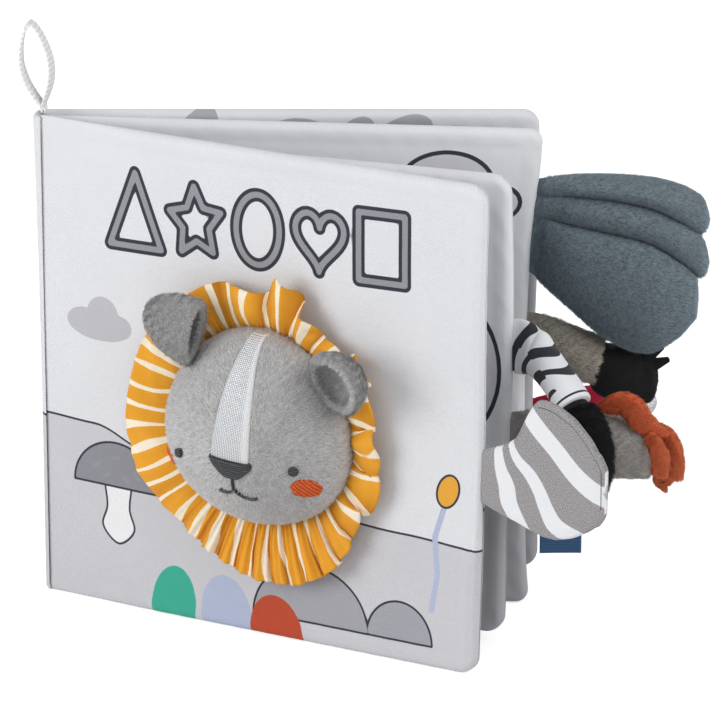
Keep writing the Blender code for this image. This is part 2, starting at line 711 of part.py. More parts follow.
def stuffing(name, route, parent, first=2, last=-1, **lie):
    """The filling of a stuffed tube."""
    rings = tail_rings(route, TAIL_WALL + STUFFING_GAP, **lie)[first:last]
    return loft(name, rings, WADDING, parent)


def tail_hinge(name, leaf, parent, z):
    """The empty on a tail's seam, at the fore-edge of its leaf."""
    return empty(name, (leaf.edge_at(z) + TAIL_SETBACK, 0, z), parent)


# A tail's flattened end in the seam: how far along, how tall and how thick, as shares of
# TAIL_ROOT_HALF, the root's half height and TAIL_ROOT_HALF
SEAM_SHARES = ((-0.8, 0.9, 0.5), (0.0, 1.0, 1.0))


def seam(half_height, up=0):
    """The first points of a tail's route: a flattened end in the seam, rounded on its hinge."""
    return np.array(
        [
            (TAIL_ROOT_HALF * back, 0, up, half_height * tall, TAIL_ROOT_HALF * thick)
            for back, tall, thick in SEAM_SHARES
        ]
    )


def neck(route):
    """The first points of what is sewn into a tube's end: a plug that fits its mouth."""
    end, before = route[-1], route[-2]
    ahead = (end - before)[:3] / np.linalg.norm((end - before)[:3])
    fit = end[3:] - TAIL_WALL - STUFFING_GAP
    inside = np.concatenate([end[:3] - ahead * NECK_DEPTH, fit])
    outside = np.concatenate([end[:3] + ahead * 2 * GAP, fit])
    return np.array([inside, outside])


def from_end(route, shares, length, half_height, half_thickness):
    """A route that goes on from the end of another one."""
    onward = scaled(shares, length, half_height, half_thickness)
    onward[:, :3] += route[-1, :3]
    return np.concatenate([neck(route), onward])


# The leaf tail's upper and lower outline over its length, as shares of LEAF_TAIL_REACH
LEAF_TAIL_ALONG_SHARES = (0.0, 0.13, 0.24, 0.38, 0.47, 0.58, 0.72, 0.85, 0.97, 1.0)
LEAF_TAIL_UPPER_SHARES = (0.35, 0.42, 0.52, 0.85, 1.0, 1.0, 0.88, 0.75, 0.52, 0.40)
LEAF_TAIL_LOWER_SHARES = (-0.38, -0.45, -0.50, -0.58, -0.63, -0.64, -0.58, -0.47, -0.34, -0.24)
LEAF_TAIL_ACROSS_SHARES = (0.0, 0.06, 0.2, 0.8, 0.94, 1.0)
LEAF_TAIL_EDGE_SHARE = 0.3
LEAF_TAIL_FILM_SHARES = (0.4, 0.8)
LEAF_TAIL_FILM_HEIGHT_SHARE = 0.55


def leaf_tail(parent):
    """The flat tail of the front cover: two faces of printed cloth round a sheet of film."""
    seam_back, seam_tall, seam_thick = SEAM_SHARES[0]
    along = LEAF_TAIL_LENGTH * np.array(LEAF_TAIL_ALONG_SHARES)
    upper = LEAF_TAIL_REACH * np.array(LEAF_TAIL_UPPER_SHARES)
    lower = LEAF_TAIL_REACH * np.array(LEAF_TAIL_LOWER_SHARES)
    along = np.insert(along, 0, TAIL_ROOT_HALF * seam_back)
    upper = np.insert(upper, 0, upper[0] * seam_tall)
    lower = np.insert(lower, 0, lower[0] * seam_tall)
    across = np.array(LEAF_TAIL_ACROSS_SHARES)[None, :]
    z = lower[:, None] + (upper - lower)[:, None] * across
    from_side = np.minimum(across, 1 - across) * (upper - lower)[:, None]
    from_tip = (LEAF_TAIL_LENGTH - along)[:, None]
    inset = np.clip(np.minimum(from_side, from_tip) / LEAF_TAIL_RIM, 0, 1)
    root = np.clip(along / LEAF_TAIL_RIM / 2, 0, 1)[:, None]
    full = TAIL_ROOT_HALF + (LEAF_TAIL_HALF - TAIL_ROOT_HALF) * root
    full[0] = TAIL_ROOT_HALF * seam_thick
    swell = LEAF_TAIL_EDGE_SHARE + (1 - LEAF_TAIL_EDGE_SHARE) * np.sqrt(inset * (2 - inset))
    skin = GAP / 2 + (full - GAP / 2) * swell
    pocket = (inset >= 1) & (root >= 1)
    lining = np.where(pocket, FILM / 2 + GAP, GAP / 2)
    x = along[:, None] + 0 * z
    for name, side in (("front", -1), ("back", 1)):
        slab(
            f"leaf_tail_{name}",
            np.stack([x, side * skin, z], axis=-1),
            np.stack([x, side * lining, z], axis=-1),
            LEAF_TAIL_PRINT,
            parent,
        )
    film_x = LEAF_TAIL_LENGTH * np.array(LEAF_TAIL_FILM_SHARES)
    film_z = np.stack([lower[4:9:4], upper[4:9:4]], axis=1) * LEAF_TAIL_FILM_HEIGHT_SHARE
    grid = np.stack([film_x[:, None] + 0 * film_z, 0 * film_z, film_z], axis=-1)
    thickness = np.array([0, FILM / 2, 0])
    slab("leaf_tail_film", grid - thickness, grid + thickness, CRACKLE_FILM, parent)


# Routes of the stuffed tails: along, forward and up as shares of the piece's length, then half
# height and half thickness as shares of the piece's own
ZEBRA_ROOT_SHARE = 1.19
ZEBRA_SHARES = (
    (0.26, 0.06, -0.05, 1.0, 0.76),
    (0.55, 0.26, -0.21, 0.82, 0.97),
    (0.81, 0.45, -0.43, 0.80, 1.0),
    (1.0, 0.60, -0.66, 0.82, 1.0),
)
ZEBRA_TUFT_SHARES = (
    (0.073, 0.06, -0.10, 0.84, 0.75),
    (0.19, 0.11, -0.28, 0.98, 0.81),
    (0.24, 0.12, -0.53, 1.0, 0.83),
    (0.22, 0.12, -0.77, 0.87, 0.73),
    (0.16, 0.12, -0.93, 0.57, 0.52),
    (0.14, 0.11, -1.0, 0.17, 0.17),
)


def zebra_tail(parent):
    """A thin striped cloth tube that bends forward and down to a black plush tuft."""
    sizes = ZEBRA_TAIL_LENGTH, ZEBRA_TAIL_HALF_HEIGHT, ZEBRA_TAIL_HALF_THICKNESS
    root = seam(ZEBRA_TAIL_HALF_HEIGHT * ZEBRA_ROOT_SHARE)
    route = np.concatenate([root, scaled(ZEBRA_SHARES, *sizes)])
    sock("zebra_tail_sleeve", route, ZEBRA_PRINT, parent)
    stuffing("zebra_tail_stuffing", route, parent)
    tuft = from_end(
        route, ZEBRA_TUFT_SHARES, ZEBRA_TUFT_LENGTH, ZEBRA_TUFT_HALF, ZEBRA_TUFT_HALF
    )
    loft("zebra_tail_tuft", tail_rings(tuft), BLACK_PLUSH, parent)


GREY_ROOT_SHARE = 0.85
GREY_SHARES = (
    (0.21, 0.0, 0.0, 0.93, 0.82),
    (0.50, 0.0, 0.01, 0.96, 0.98),
    (0.78, 0.0, 0.02, 0.95, 1.0),
    (1.0, 0.0, 0.03, 0.90, 0.96),
)
# Where each orange strip is sewn, as shares of the grey tail's length, half thickness and half
# height, and its route from there
STRIP_SEAT_SHARES = {
    "top": (0.69, 0.15, 0.93),
    "end": (1.0, 0.0, 0.66),
    "front": (1.0, 0.60, 0.50),
    "back": (1.0, -0.68, 0.0),
}
STRIP_SHARES = {
    "top": (
        (0.0, 0.0, 0.0, 0.50, 0.75),
        (0.07, 0.01, 0.015, 0.55, 0.90),
        (0.15, 0.01, 0.045, 0.75, 0.95),
        (0.23, 0.01, 0.065, 0.90, 0.95),
        (0.30, 0.0, 0.035, 0.85, 0.90),
        (0.35, -0.01, -0.03, 0.60, 0.80),
    ),
    "end": (
        (0.0, 0.0, 0.0, 0.75, 0.62),
        (0.085, 0.0, 0.015, 0.95, 0.68),
        (0.15, 0.0, 0.0, 1.0, 0.70),
        (0.205, 0.0, -0.10, 1.0, 0.70),
        (0.23, 0.0, -0.21, 0.95, 0.68),
        (0.215, 0.0, -0.31, 0.60, 0.60),
    ),
    "front": (
        (0.0, 0.0, 0.0, 0.75, 0.50),
        (0.055, 0.01, 0.01, 1.0, 0.58),
        (0.10, 0.025, -0.065, 1.1, 0.60),
        (0.11, 0.03, -0.165, 1.1, 0.60),
        (0.11, 0.03, -0.275, 0.75, 0.55),
    ),
    "back": (
        (0.0, 0.0, 0.0, 0.75, 0.48),
        (0.11, 0.0, 0.015, 1.0, 0.55),
        (0.19, 0.0, -0.06, 1.0, 0.60),
        (0.19, 0.0, -0.185, 0.95, 0.60),
        (0.145, 0.0, -0.285, 0.50, 0.50),
    ),
}


def grey_tail(parent):
    """A thick plush tube with four orange plush strips sewn round its end."""
    sizes = GREY_TAIL_LENGTH, GREY_TAIL_HALF_HEIGHT, GREY_TAIL_HALF_THICKNESS
    root = seam(GREY_TAIL_HALF_HEIGHT * GREY_ROOT_SHARE)
    route = np.concatenate([root, scaled(GREY_SHARES, *sizes)])
    sock("grey_tail_sleeve", route, GREY_PLUSH, parent)
    stuffing("grey_tail_stuffing", route, parent, last=None)
    for name, shares in STRIP_SHARES.items():
        strip = scaled(shares, GREY_TAIL_LENGTH, STRIP_HALF_DEPTH, STRIP_HALF_WIDTH)
        along, forward, up = STRIP_SEAT_SHARES[name]
        clear = np.array([0, 0, GAP + strip[0, 3]]) if name == "top" else np.array([2 * GAP, 0, 0])
        place = np.array(
            [
                along * GREY_TAIL_LENGTH,
                forward * GREY_TAIL_HALF_THICKNESS,
                up * GREY_TAIL_HALF_HEIGHT + route[-1, 2],
            ]
        )
        strip[:, :3] += place + clear
        rings = tail_rings(smooth_route(strip, 7), sides=8)
        loft(f"grey_tail_strip_{name}", rings, ORANGE_PLUSH, parent)


# The plume's outline at stations along it, as shares of PLUME_LENGTH: its top edge, the lines
# between its three fingers, and its lower edge
PLUME_ALONG_SHARES = (0.0, 0.066, 0.213, 0.443, 0.656, 0.82, 0.918)
PLUME_EDGE_SHARES = (
    (0.279, 0.287, 0.293, 0.297, 0.287, 0.259, 0.220),
    (0.169, 0.190, 0.203, 0.184, 0.148, 0.075, 0.025),
    (0.034, 0.043, 0.021, -0.020, -0.080, -0.180, -0.270),
    (-0.361, -0.415, -0.526, -0.692, -0.757, -0.674, -0.577),
)
# How thick each finger is there, how far it lies forward, and the length and height of its tip
PLUME_THICK_SHARES = {
    "upper": (0.31, 0.63, 0.79, 0.81, 0.69, 0.44),
    "middle": (0.31, 0.65, 0.83, 0.85, 0.75, 0.52),
    "lower": (0.42, 0.75, 0.98, 1.0, 0.80, 0.52),
}
PLUME_FORWARD_SHARES = {
    "upper": (0.0, 0.0, -0.017, -0.017, -0.017, -0.017, -0.017),
    "middle": (0.0, 0.0, 0.0, 0.0, 0.0, 0.0, 0.0),
    "lower": (0.015, 0.045, 0.068, 0.080, 0.080, 0.080, 0.080),
}
PLUME_TIP_SHARES = {"upper": (0.99, 0.12), "middle": (1.01, -0.15), "lower": (0.96, -0.43)}
PLUME_TIP_HALF_SHARE = 0.035


def plume_tail(parent):
    """A plume of three stuffed fingers in slate plush, which lie close under each other."""
    along = np.array(PLUME_ALONG_SHARES) * PLUME_LENGTH
    edges = np.array(PLUME_EDGE_SHARES) * PLUME_LENGTH
    for k, name in enumerate(("upper", "middle", "lower")):
        high = edges[k] - (GAP / 2 if k else 0)
        low = edges[k + 1] + (GAP / 2 if k < 2 else 0)
        thick = PLUME_HALF_THICKNESS * np.array(PLUME_THICK_SHARES[name])
        thick = np.concatenate([[TAIL_ROOT_HALF], thick])
        forward = PLUME_LENGTH * np.array(PLUME_FORWARD_SHARES[name])
        forward[0] = 0
        body = np.stack([along, forward, (high + low) / 2, (high - low) / 2, thick], axis=1)
        tip_along, tip_up = (share * PLUME_LENGTH for share in PLUME_TIP_SHARES[name])
        tip_half = PLUME_TIP_HALF_SHARE * PLUME_LENGTH
        tip = np.array([[tip_along, forward[-1], tip_up, tip_half, tip_half]])
        root = seam(body[0, 3], body[0, 2])[:1]
        route = np.concatenate([tip, body[::-1], root])
        sock(f"plume_{name}_finger", route, SLATE_PLUSH, parent, upright=True, slanted=True)
        stuffing(f"plume_{name}_stuffing", route, parent, 1, -3, upright=True, slanted=True)


BROWN_ROOT_SHARE = 0.97
BROWN_SHARES = (
    (0.31, 0.0, -0.075, 0.89, 0.68),
    (0.65, 0.0, -0.175, 0.80, 0.95),
    (1.0, 0.0, -0.255, 0.74, 1.0),
)
TASSEL_SHARES = (
    (0.14, -0.02, -0.05, 0.78, 0.92),
    (0.36, -0.10, -0.16, 0.88, 0.95),
    (0.62, -0.15, -0.28, 0.80, 0.85),
    (0.87, -0.15, -0.34, 0.68, 0.58),
    (1.0, -0.15, -0.37, 0.50, 0.28),
)


def brown_tail(parent):
    """A short plush tube with a black tassel in its end."""
    sizes = BROWN_TAIL_LENGTH, BROWN_TAIL_HALF_HEIGHT, BROWN_TAIL_HALF_THICKNESS
    root = seam(BROWN_TAIL_HALF_HEIGHT * BROWN_ROOT_SHARE)
    route = np.concatenate([root, scaled(BROWN_SHARES, *sizes)])
    sock("brown_tail_sleeve", route, BROWN_PLUSH, parent)
    stuffing("brown_tail_stuffing", route, parent)
    tassel = from_end(
        route, TASSEL_SHARES, TASSEL_LENGTH, TASSEL_HALF_HEIGHT, TASSEL_HALF_THICKNESS
    )
    loft("brown_tail_tassel", tail_rings(tassel), BLACK_PLUSH, parent)


RED_ROOT_SHARE = 0.82
RED_SHARES = (
    (0.27, 0.0, 0.05, 0.91, 0.77),
    (0.64, 0.0, 0.14, 0.95, 0.95),
    (1.0, 0.0, 0.155, 1.0, 1.0),
)
RED_TIP_SHARES = (
    (0.09, 0.0, 0.0, 0.83, 0.80),
    (0.42, 0.0, -0.05, 1.0, 0.93),
    (0.75, 0.0, -0.10, 0.93, 0.87),
    (0.94, 0.0, -0.13, 0.57, 0.53),
    (1.0, 0.0, -0.14, 0.17, 0.17),
)


def red_tail(parent):
    """A slim red tail with a glittering tip, on the back cover."""
    half = RED_TAIL_HALF_HEIGHT
    route = scaled(RED_SHARES, RED_TAIL_LENGTH, half, half)
    route = np.concatenate([seam(half * RED_ROOT_SHARE), route])
    sock("red_tail_sleeve", route, RED_CLOTH, parent)
    stuffing("red_tail_stuffing", route, parent)
    tip_half = RED_TIP_HALF_HEIGHT
    tip = from_end(route, RED_TIP_SHARES, RED_TIP_LENGTH, tip_half, tip_half)
    loft("red_tail_tip", tail_rings(tip), GLITTER_CLOTH, parent)


clear_scene()

COVER_CLOTH = cloth("cover_cloth", (0.90, 0.90, 0.92))
PAGE_CLOTH = cloth("page_cloth", (0.82, 0.83, 0.85))
CRACKLE_FILM = cloth("crackle_film", (0.85, 0.88, 0.90), 0.3)
WADDING = cloth("wadding", (0.95, 0.95, 0.93), 1.0)
LOOP_TWILL = cloth("loop_twill", (0.92, 0.92, 0.92))
LABEL_WEAVE = cloth("label_weave", (0.14, 0.27, 0.42), 0.7)
HEAD_PLUSH = cloth("head_plush", (0.70, 0.70, 0.70), 1.0)
GLITTER_CLOTH = cloth("glitter_cloth", (0.85, 0.86, 0.88), 0.4)
NOSE_STITCH = cloth("nose_stitch", (0.29, 0.31, 0.33), 0.6)
CHEEK_STITCH = cloth("cheek_stitch", (0.88, 0.37, 0.14), 0.6)
MANE_CLOTH_STRIPED = cloth("mane_cloth", (0.93, 0.65, 0.18))
LEAF_TAIL_PRINT = cloth("leaf_tail_print", (0.53, 0.51, 0.52))
ZEBRA_PRINT = cloth("zebra_print", (0.88, 0.89, 0.91))
BLACK_PLUSH = cloth("black_plush", (0.07, 0.07, 0.08), 1.0)
GREY_PLUSH = cloth("grey_plush", (0.59, 0.58, 0.56), 1.0)
ORANGE_PLUSH = cloth("orange_plush", (0.80, 0.33, 0.20), 1.0)
SLATE_PLUSH = cloth("slate_plush", (0.33, 0.38, 0.42), 1.0)
BROWN_PLUSH = cloth("brown_plush", (0.55, 0.53, 0.49), 1.0)
RED_CLOTH = cloth("red_cloth", (0.78, 0.10, 0.24))

hinges = {}
for each_leaf in (BACK_COVER, PAGE_TWO, PAGE_ONE, FRONT_COVER):
    hinges[each_leaf.name] = empty(
        f"{each_leaf.name}_hinge", (HINGE_X, each_leaf.hinge_y, 0), None, -each_leaf.angle
    )
    if each_leaf.name.endswith("cover"):
        cover_sides = ("inside", "outside") if each_leaf is BACK_COVER else ("outside", "inside")
        sew_leaf(each_leaf, hinges[each_leaf.name], *cover_sides, COVER_CLOTH, COVER_CLOTH)
    else:
        sew_leaf(each_leaf, hinges[each_leaf.name], "front", "back", PAGE_CLOTH, PAGE_CLOTH)

spine_band(hinges["back_cover"])
loop_root = empty("hanging_loop_root", (HINGE_X, 0, COVER_HEIGHT + LOOP_PIVOT_RISE))
hanging_loop(loop_root)
edge_label(tail_hinge("edge_label_hinge", BACK_COVER, hinges["back_cover"], LABEL_MIDDLE))

on_front = hinges["front_cover"]
lion_head(on_front)
lion_face(on_front)
ear_cutter = head_cutter(on_front)
lion_ear(
    "lion_ear_left",
    LEFT_EAR_SIDE,
    LEFT_EAR_UP,
    LEFT_EAR_HALF_HEIGHT,
    LEFT_EAR_HALF_WIDTH,
    LEFT_EAR_DEPTH,
    LEFT_EAR_FACING,
    LEFT_EAR_DROOP,
    on_front,
    ear_cutter,
)
lion_ear(
    "lion_ear_right",
    RIGHT_EAR_SIDE,
    RIGHT_EAR_UP,
    RIGHT_EAR_HALF_HEIGHT,
    RIGHT_EAR_HALF_WIDTH,
    RIGHT_EAR_DEPTH,
    RIGHT_EAR_FACING,
    RIGHT_EAR_DROOP,
    on_front,
    ear_cutter,
)
lion_mane(on_front)

leaf_tail(tail_hinge("leaf_tail_hinge", FRONT_COVER, on_front, LEAF_TAIL_ROOT_Z))
zebra_tail(tail_hinge("zebra_tail_hinge", PAGE_ONE, hinges["page_one"], ZEBRA_TAIL_ROOT_Z))
grey_tail(tail_hinge("grey_tail_hinge", PAGE_ONE, hinges["page_one"], GREY_TAIL_ROOT_Z))
plume_tail(tail_hinge("plume_tail_hinge", PAGE_TWO, hinges["page_two"], PLUME_ROOT_Z))
brown_tail(tail_hinge("brown_tail_hinge", PAGE_TWO, hinges["page_two"], BROWN_TAIL_ROOT_Z))
red_tail(tail_hinge("red_tail_hinge", BACK_COVER, hinges["back_cover"], RED_TAIL_ROOT_Z))
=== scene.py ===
"""The crinkle cloth book, dressed for its picture.

It runs from top to bottom in the order in which the book is sewn: leaves, spine, loop, label,
the lion, the tails, and last the room it stands in. Everything is in metres, +Z up. A leaf
stands on its hinge line, with "along" from the hinge to the fore-edge and "up" from the floor.
"""

import bpy
import numpy as np
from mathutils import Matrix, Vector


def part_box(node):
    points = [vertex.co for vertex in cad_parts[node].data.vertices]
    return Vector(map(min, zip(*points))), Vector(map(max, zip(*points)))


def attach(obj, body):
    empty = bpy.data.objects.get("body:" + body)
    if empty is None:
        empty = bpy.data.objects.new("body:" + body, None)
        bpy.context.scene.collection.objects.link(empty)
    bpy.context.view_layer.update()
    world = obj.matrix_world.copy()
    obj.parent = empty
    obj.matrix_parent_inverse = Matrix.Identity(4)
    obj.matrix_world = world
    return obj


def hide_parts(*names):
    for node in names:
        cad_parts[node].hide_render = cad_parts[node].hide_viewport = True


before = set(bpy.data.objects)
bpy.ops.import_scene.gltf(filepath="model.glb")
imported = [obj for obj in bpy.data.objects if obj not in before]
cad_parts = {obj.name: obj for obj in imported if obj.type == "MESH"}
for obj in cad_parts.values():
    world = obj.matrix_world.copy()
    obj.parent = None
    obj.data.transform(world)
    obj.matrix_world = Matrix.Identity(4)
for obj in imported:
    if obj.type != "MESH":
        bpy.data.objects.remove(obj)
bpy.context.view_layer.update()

# The camera stands straight in front of the back cover's face and looks down at 17.96 degrees,
# so that the front cover is seen turned by 29 degrees, as in the photograph.

LOOK_DOWN = np.radians(17.96)
LOOK_AT = np.array([0.1167, 0, 0.0883])
DISTANCE, SENSOR, LENS = 1.851, 36, 250.75
eye = bpy.data.cameras.new("eye")
eye.sensor_width = SENSOR
eye.lens = LENS
eye.clip_start = 0.05
camera = bpy.data.objects.new("eye", eye)
camera.location = LOOK_AT + DISTANCE * np.array([0, -np.cos(LOOK_DOWN), np.sin(LOOK_DOWN)])
camera.rotation_euler = (np.pi / 2 - LOOK_DOWN, 0, 0)
bpy.context.scene.collection.objects.link(camera)
bpy.context.scene.camera = camera


# The eight faces of the four leaves. Each leaf is a pocket of two polyester twill faces sewn
# together round the edge and turned right side out, so its rim is round with a seam groove, and
# the seam allowance inside makes a soft ridge that ends in a crease.

HINGE_X, GAP = 0.0019, 0.0003
LEAVES = {
    "back_cover": dict(y=0.0042, angle=0, width=0.180, height=0.183, foot=0, rise=0.0065, fall=0,
                       corner=0.006, sway=(0.8, 1.2, -0.4, -1.1, -0.1, 0, 0.2, 0.2)),
    "page_two": dict(y=0.0014, angle=6, width=0.179, height=0.1815, foot=0, rise=0, fall=0,
                     corner=0.005, sway=(-0.5, -1.8, -2.4, -2.8, -2.1, -0.6, 1.6, 3.0)),
    "page_one": dict(y=-0.0014, angle=19, width=0.178, height=0.1735, foot=0.0025, rise=0.0013, fall=0,
                     corner=0.007, sway=(-1.0, -0.8, -0.5, 0.6, 1.1, 1.0, 0.5, 0.1)),
    "front_cover": dict(y=-0.0042, angle=29, width=0.181, height=0.183, foot=0, rise=0, fall=0.0017,
                        corner=0.007, sway=(-1.4, -1.0, -0.2, 0.3, 0.3, 0.5, 1.0, 1.2)),
}
# Shares of a leaf's height at which its sway is given, in mm
SWAY_AT = (0, 0.1, 0.25, 0.45, 0.65, 0.8, 0.9, 1)
LEAF_HALF, ROOT_HALF, TAPER, RIM, CLOTH, THINNEST = 0.003, 0.001, 0.055, 0.003, 0.0012, 0.00015
ROOT_SHARES = np.array([-0.97, -0.7, -0.3])
RIM_STEPS = np.array([0, 0.12, 0.35, 0.7, 1.15, 1.7, 2.3, 3, 3.9, 4.8, 5.6, 6.4, 7.4, 8.6]) / 1000
# A ridge and a crease along the seam allowance, puckers, slack, and the front's second stitches:
# how far in they lie or reach, and how high or deep they are
RIDGE_AT, RIDGE_SOFT, RIDGE_HIGH = 0.0062, 0.0006, 0.00016
CREASE_AT, CREASE_WIDE, CREASE_DEEP = 0.0068, 0.0016, 0.00022
PUCKER_REACH, PUCKER_HIGH, SLACK_HIGH = 0.011, 0.00011, 0.00022
STITCH_AT, STITCH_SLANT, STITCH_WIDE = 0.0031, 0.0065, 0.00045


def spread(*parts):
    """The points of a grid: each part is one coordinate, stretched over the whole grid."""
    return np.stack(np.broadcast_arrays(*parts), axis=-1)


def bell(distance, width):
    """A bell curve: 1 where the distance is 0, and 1/e at the width."""
    return np.exp(-((distance / width) ** 2))


def place(leaf, along, out, up):
    """Leaf coordinates in the frame: the leaf is turned clockwise about its hinge."""
    at = LEAVES[leaf]
    c, s = np.cos(np.radians(at["angle"])), np.sin(np.radians(at["angle"]))
    return spread(HINGE_X + along * c + out * s, at["y"] - along * s + out * c, up)


def mesh_piece(name, points, quads, body, uv=None, values=None):
    """A smooth mesh that rides on a body. UV and named values are given for each vertex."""
    mesh = bpy.data.meshes.new(name)
    mesh.from_pydata(np.asarray(points, float).reshape(-1, 3), [], quads)
    mesh.shade_smooth()
    corners = np.empty(len(mesh.loops), int)
    mesh.loops.foreach_get("vertex_index", corners)
    if uv is not None:
        flat = np.asarray(uv, float).reshape(-1, 2)[corners]
        mesh.uv_layers.new(name="cloth").data.foreach_set("uv", flat.ravel())
    for key, value in (values or {}).items():
        mesh.attributes.new(key, "FLOAT", "POINT").data.foreach_set("value", np.ravel(value))
    piece = bpy.data.objects.new(name, mesh)
    bpy.context.scene.collection.objects.link(piece)
    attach(piece, body)
    return piece


def grid_quads(rows, columns, around=False, closed=False, first=0):
    """The quads of a grid of points, row by row. Around joins its last column to its first,
    and closed joins its last row to its first."""
    i = np.arange(rows if closed else rows - 1)[:, None]
    j = np.arange(columns if around else columns - 1)[None, :]
    corners = np.broadcast_arrays(i, j, (i + 1) % rows, (j + 1) % columns)
    i, j, n, k = (corner.ravel() for corner in corners)
    return first + np.stack([i * columns + j, i * columns + k, n * columns + k, n * columns + j], 1)


def shell_quads(rows, columns):
    """The quads of a closed cloth between two grids: both faces, and a rim along their border."""
    count = rows * columns
    near = grid_quads(rows, columns)
    far = grid_quads(rows, columns, first=count)[:, ::-1]
    index = np.arange(count).reshape(rows, columns)
    border = np.concatenate([index[0], index[1:, -1], index[-1, -2::-1], index[-2:0:-1, 0]])
    after = np.roll(border, -1)
    return np.concatenate([near, far, np.stack([after, border, border + count, after + count], 1)])


def shell_piece(name, faces, body, uv, values=None, turned=False):
    """A closed cloth between two grids of points, which share their UV and their values. Turned
    is for a cloth whose first grid would face inwards."""
    quads = shell_quads(*uv.shape[:2])
    both = {key: np.stack([value, value]) for key, value in (values or {}).items()}
    quads = quads[:, ::-1] if turned else quads
    return mesh_piece(name, np.stack(faces), quads, body, np.stack([uv, uv]), both)


def dress(piece, material, slot, *node_names, fill=None):
    """Gives a piece its material, and hides the CAD nodes that it stands for. Its slot and its filling are
    not used.
    """
    piece.data.materials.append(material)
    if node_names:
        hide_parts(*node_names)
    return piece


def from_edges(low, high, count):
    """Positions across a leaf: rows crowd at both rims, and are even between them."""
    inner = np.linspace(0, 1, count)[1:-1]
    start, end = low + RIM_STEPS[-1], high - RIM_STEPS[-1]
    middle = start[..., None] + (end - start)[..., None] * inner
    edges = low[..., None] + RIM_STEPS, high[..., None] - RIM_STEPS[::-1]
    return np.concatenate([edges[0], middle, edges[1]], axis=-1)


def smooth_route(route, steps):
    """A route with more points: cubics through its own points, with central slopes."""
    points = np.asarray(route, float)
    slope = np.gradient(points, axis=0)
    at = np.linspace(0, len(points) - 1, steps)
    k = np.minimum(at.astype(int), len(points) - 2)
    t = (at - k)[:, None]
    ahead = (3 - 2 * t) * t * t
    curve = points[k] * (1 - ahead) + points[k + 1] * ahead
    return curve + slope[k] * t * (1 - t) ** 2 - slope[k + 1] * t * t * (1 - t)


def edge_sway(leaf, up):
    """How far a fore-edge lies out at a height: a smooth curve through the places measured in
    the photo, in mm turned to metres."""
    at = LEAVES[leaf]
    share, out = smooth_route(np.column_stack([SWAY_AT, at["sway"]]), 90).T
    return np.interp((up - at["foot"]) / at["height"], share, out) / 1000


def leaf_half(along):
    """Half a leaf's thickness: a round root, then a smooth cubic swell over the taper."""
    t = np.clip(along / TAPER, 0, 1)
    full = ROOT_HALF + (LEAF_HALF - ROOT_HALF) * t * t * (3 - 2 * t)
    root = np.sqrt(np.clip(ROOT_HALF**2 - np.minimum(along, 0) ** 2, 0, None))
    return np.where(along < 0, root, full)


def rim_lift(inset):
    """A quarter of an ellipse from the seam to the full height."""
    return np.sqrt(np.clip(1 - (1 - np.clip(inset / RIM, 0, 1)) ** 2, 0, 1))


def leaf_face(name, leaf, side, spacing, prints, node_name, twill):
    """One face: the leaf's half thickness times the rim's lift, less a crease beside the seam
    allowance, plus puckers that are sines along the seam and fade inwards. The front cover has
    a second row of stitches along its fore-edge."""
    at = LEAVES[leaf]
    across = int(at["width"] / spacing)
    along = np.concatenate([ROOT_SHARES * ROOT_HALF, np.linspace(0, at["width"] - RIM_STEPS[-1], across)])
    along = np.concatenate([along[:-1], at["width"] - RIM_STEPS[::-1]])[:, None]
    into = np.clip(at["corner"] - (at["width"] - along), 0, at["corner"])
    drop = (at["corner"] - np.sqrt(at["corner"] ** 2 - into**2))[:, 0]
    far = np.clip(along / at["width"], 0, 1)
    low = at["foot"] + at["rise"] * far[:, 0] + drop
    high = at["foot"] + at["height"] - at["fall"] * far[:, 0] - drop
    up = from_edges(low, high, int(at["height"] / spacing))

    to_foot, to_head = up - low[:, None], high[:, None] - up
    to_fore = at["width"] - along
    lift = rim_lift(to_fore) * rim_lift(to_head) * (0.4 + 0.6 * rim_lift(to_foot))
    near = np.minimum(np.minimum(to_foot, to_head), to_fore + 0 * up)
    half = leaf_half(along) * np.ones_like(up)
    swell = half / LEAF_HALF
    ridge = RIDGE_HIGH / (1 + np.exp((near - RIDGE_AT) / RIDGE_SOFT))
    ridge = ridge - CREASE_DEEP * bell(near - CREASE_AT, CREASE_WIDE)
    phase = 3 * side + 7 * at["angle"]
    seam = along * 1.3 + up
    pucker = np.sin(430 * seam + phase) + 0.7 * np.sin(870 * seam + 2 * phase + 9 * np.sin(40 * seam))
    pucker *= PUCKER_HIGH * np.exp(-near / PUCKER_REACH)
    slack = np.sin(52 * along + phase) * np.sin(37 * up + 1.7 * phase) + 0.6 * np.sin(71 * up - 43 * along)
    out = half * lift + swell * lift * (ridge + pucker + SLACK_HIGH * slack)
    if node_name == "front_cover_outside":
        out = out - STITCH_WIDE * bell(to_fore - STITCH_AT + STITCH_SLANT * up, STITCH_WIDE)
    inner = np.maximum(THINNEST, (out - CLOTH) * (near > RIM) * (along > TAPER))

    swayed = along + edge_sway(leaf, up) * far
    faces = [place(leaf, swayed, side * np.maximum(height, THINNEST), up) for height in (out, inner)]
    values = {key: shape(along, up) * np.ones_like(up) for key, shape in prints.items()}
    piece = shell_piece(name, faces, leaf, spread(along, up), values, turned=side < 0)
    slot = "cover_cloth" if leaf.endswith("cover") else "page_cloth"
    return dress(piece, twill, slot, node_name, fill=0.35)


def to_path(along, up, path):
    """Distance from each point to a path of straight lines, the nearest of its stretches."""
    path = np.asarray(path, float)
    best = np.full(np.broadcast(along, up).shape, 1.0)
    for (ax, ay), (bx, by) in zip(path[:-1], path[1:]):
        px, py, dx, dy = along - ax, up - ay, bx - ax, by - ay
        t = np.clip((px * dx + py * dy) / (dx * dx + dy * dy + 1e-12), 0, 1)
        best = np.minimum(best, np.hypot(px - t * dx, py - t * dy))
    return best


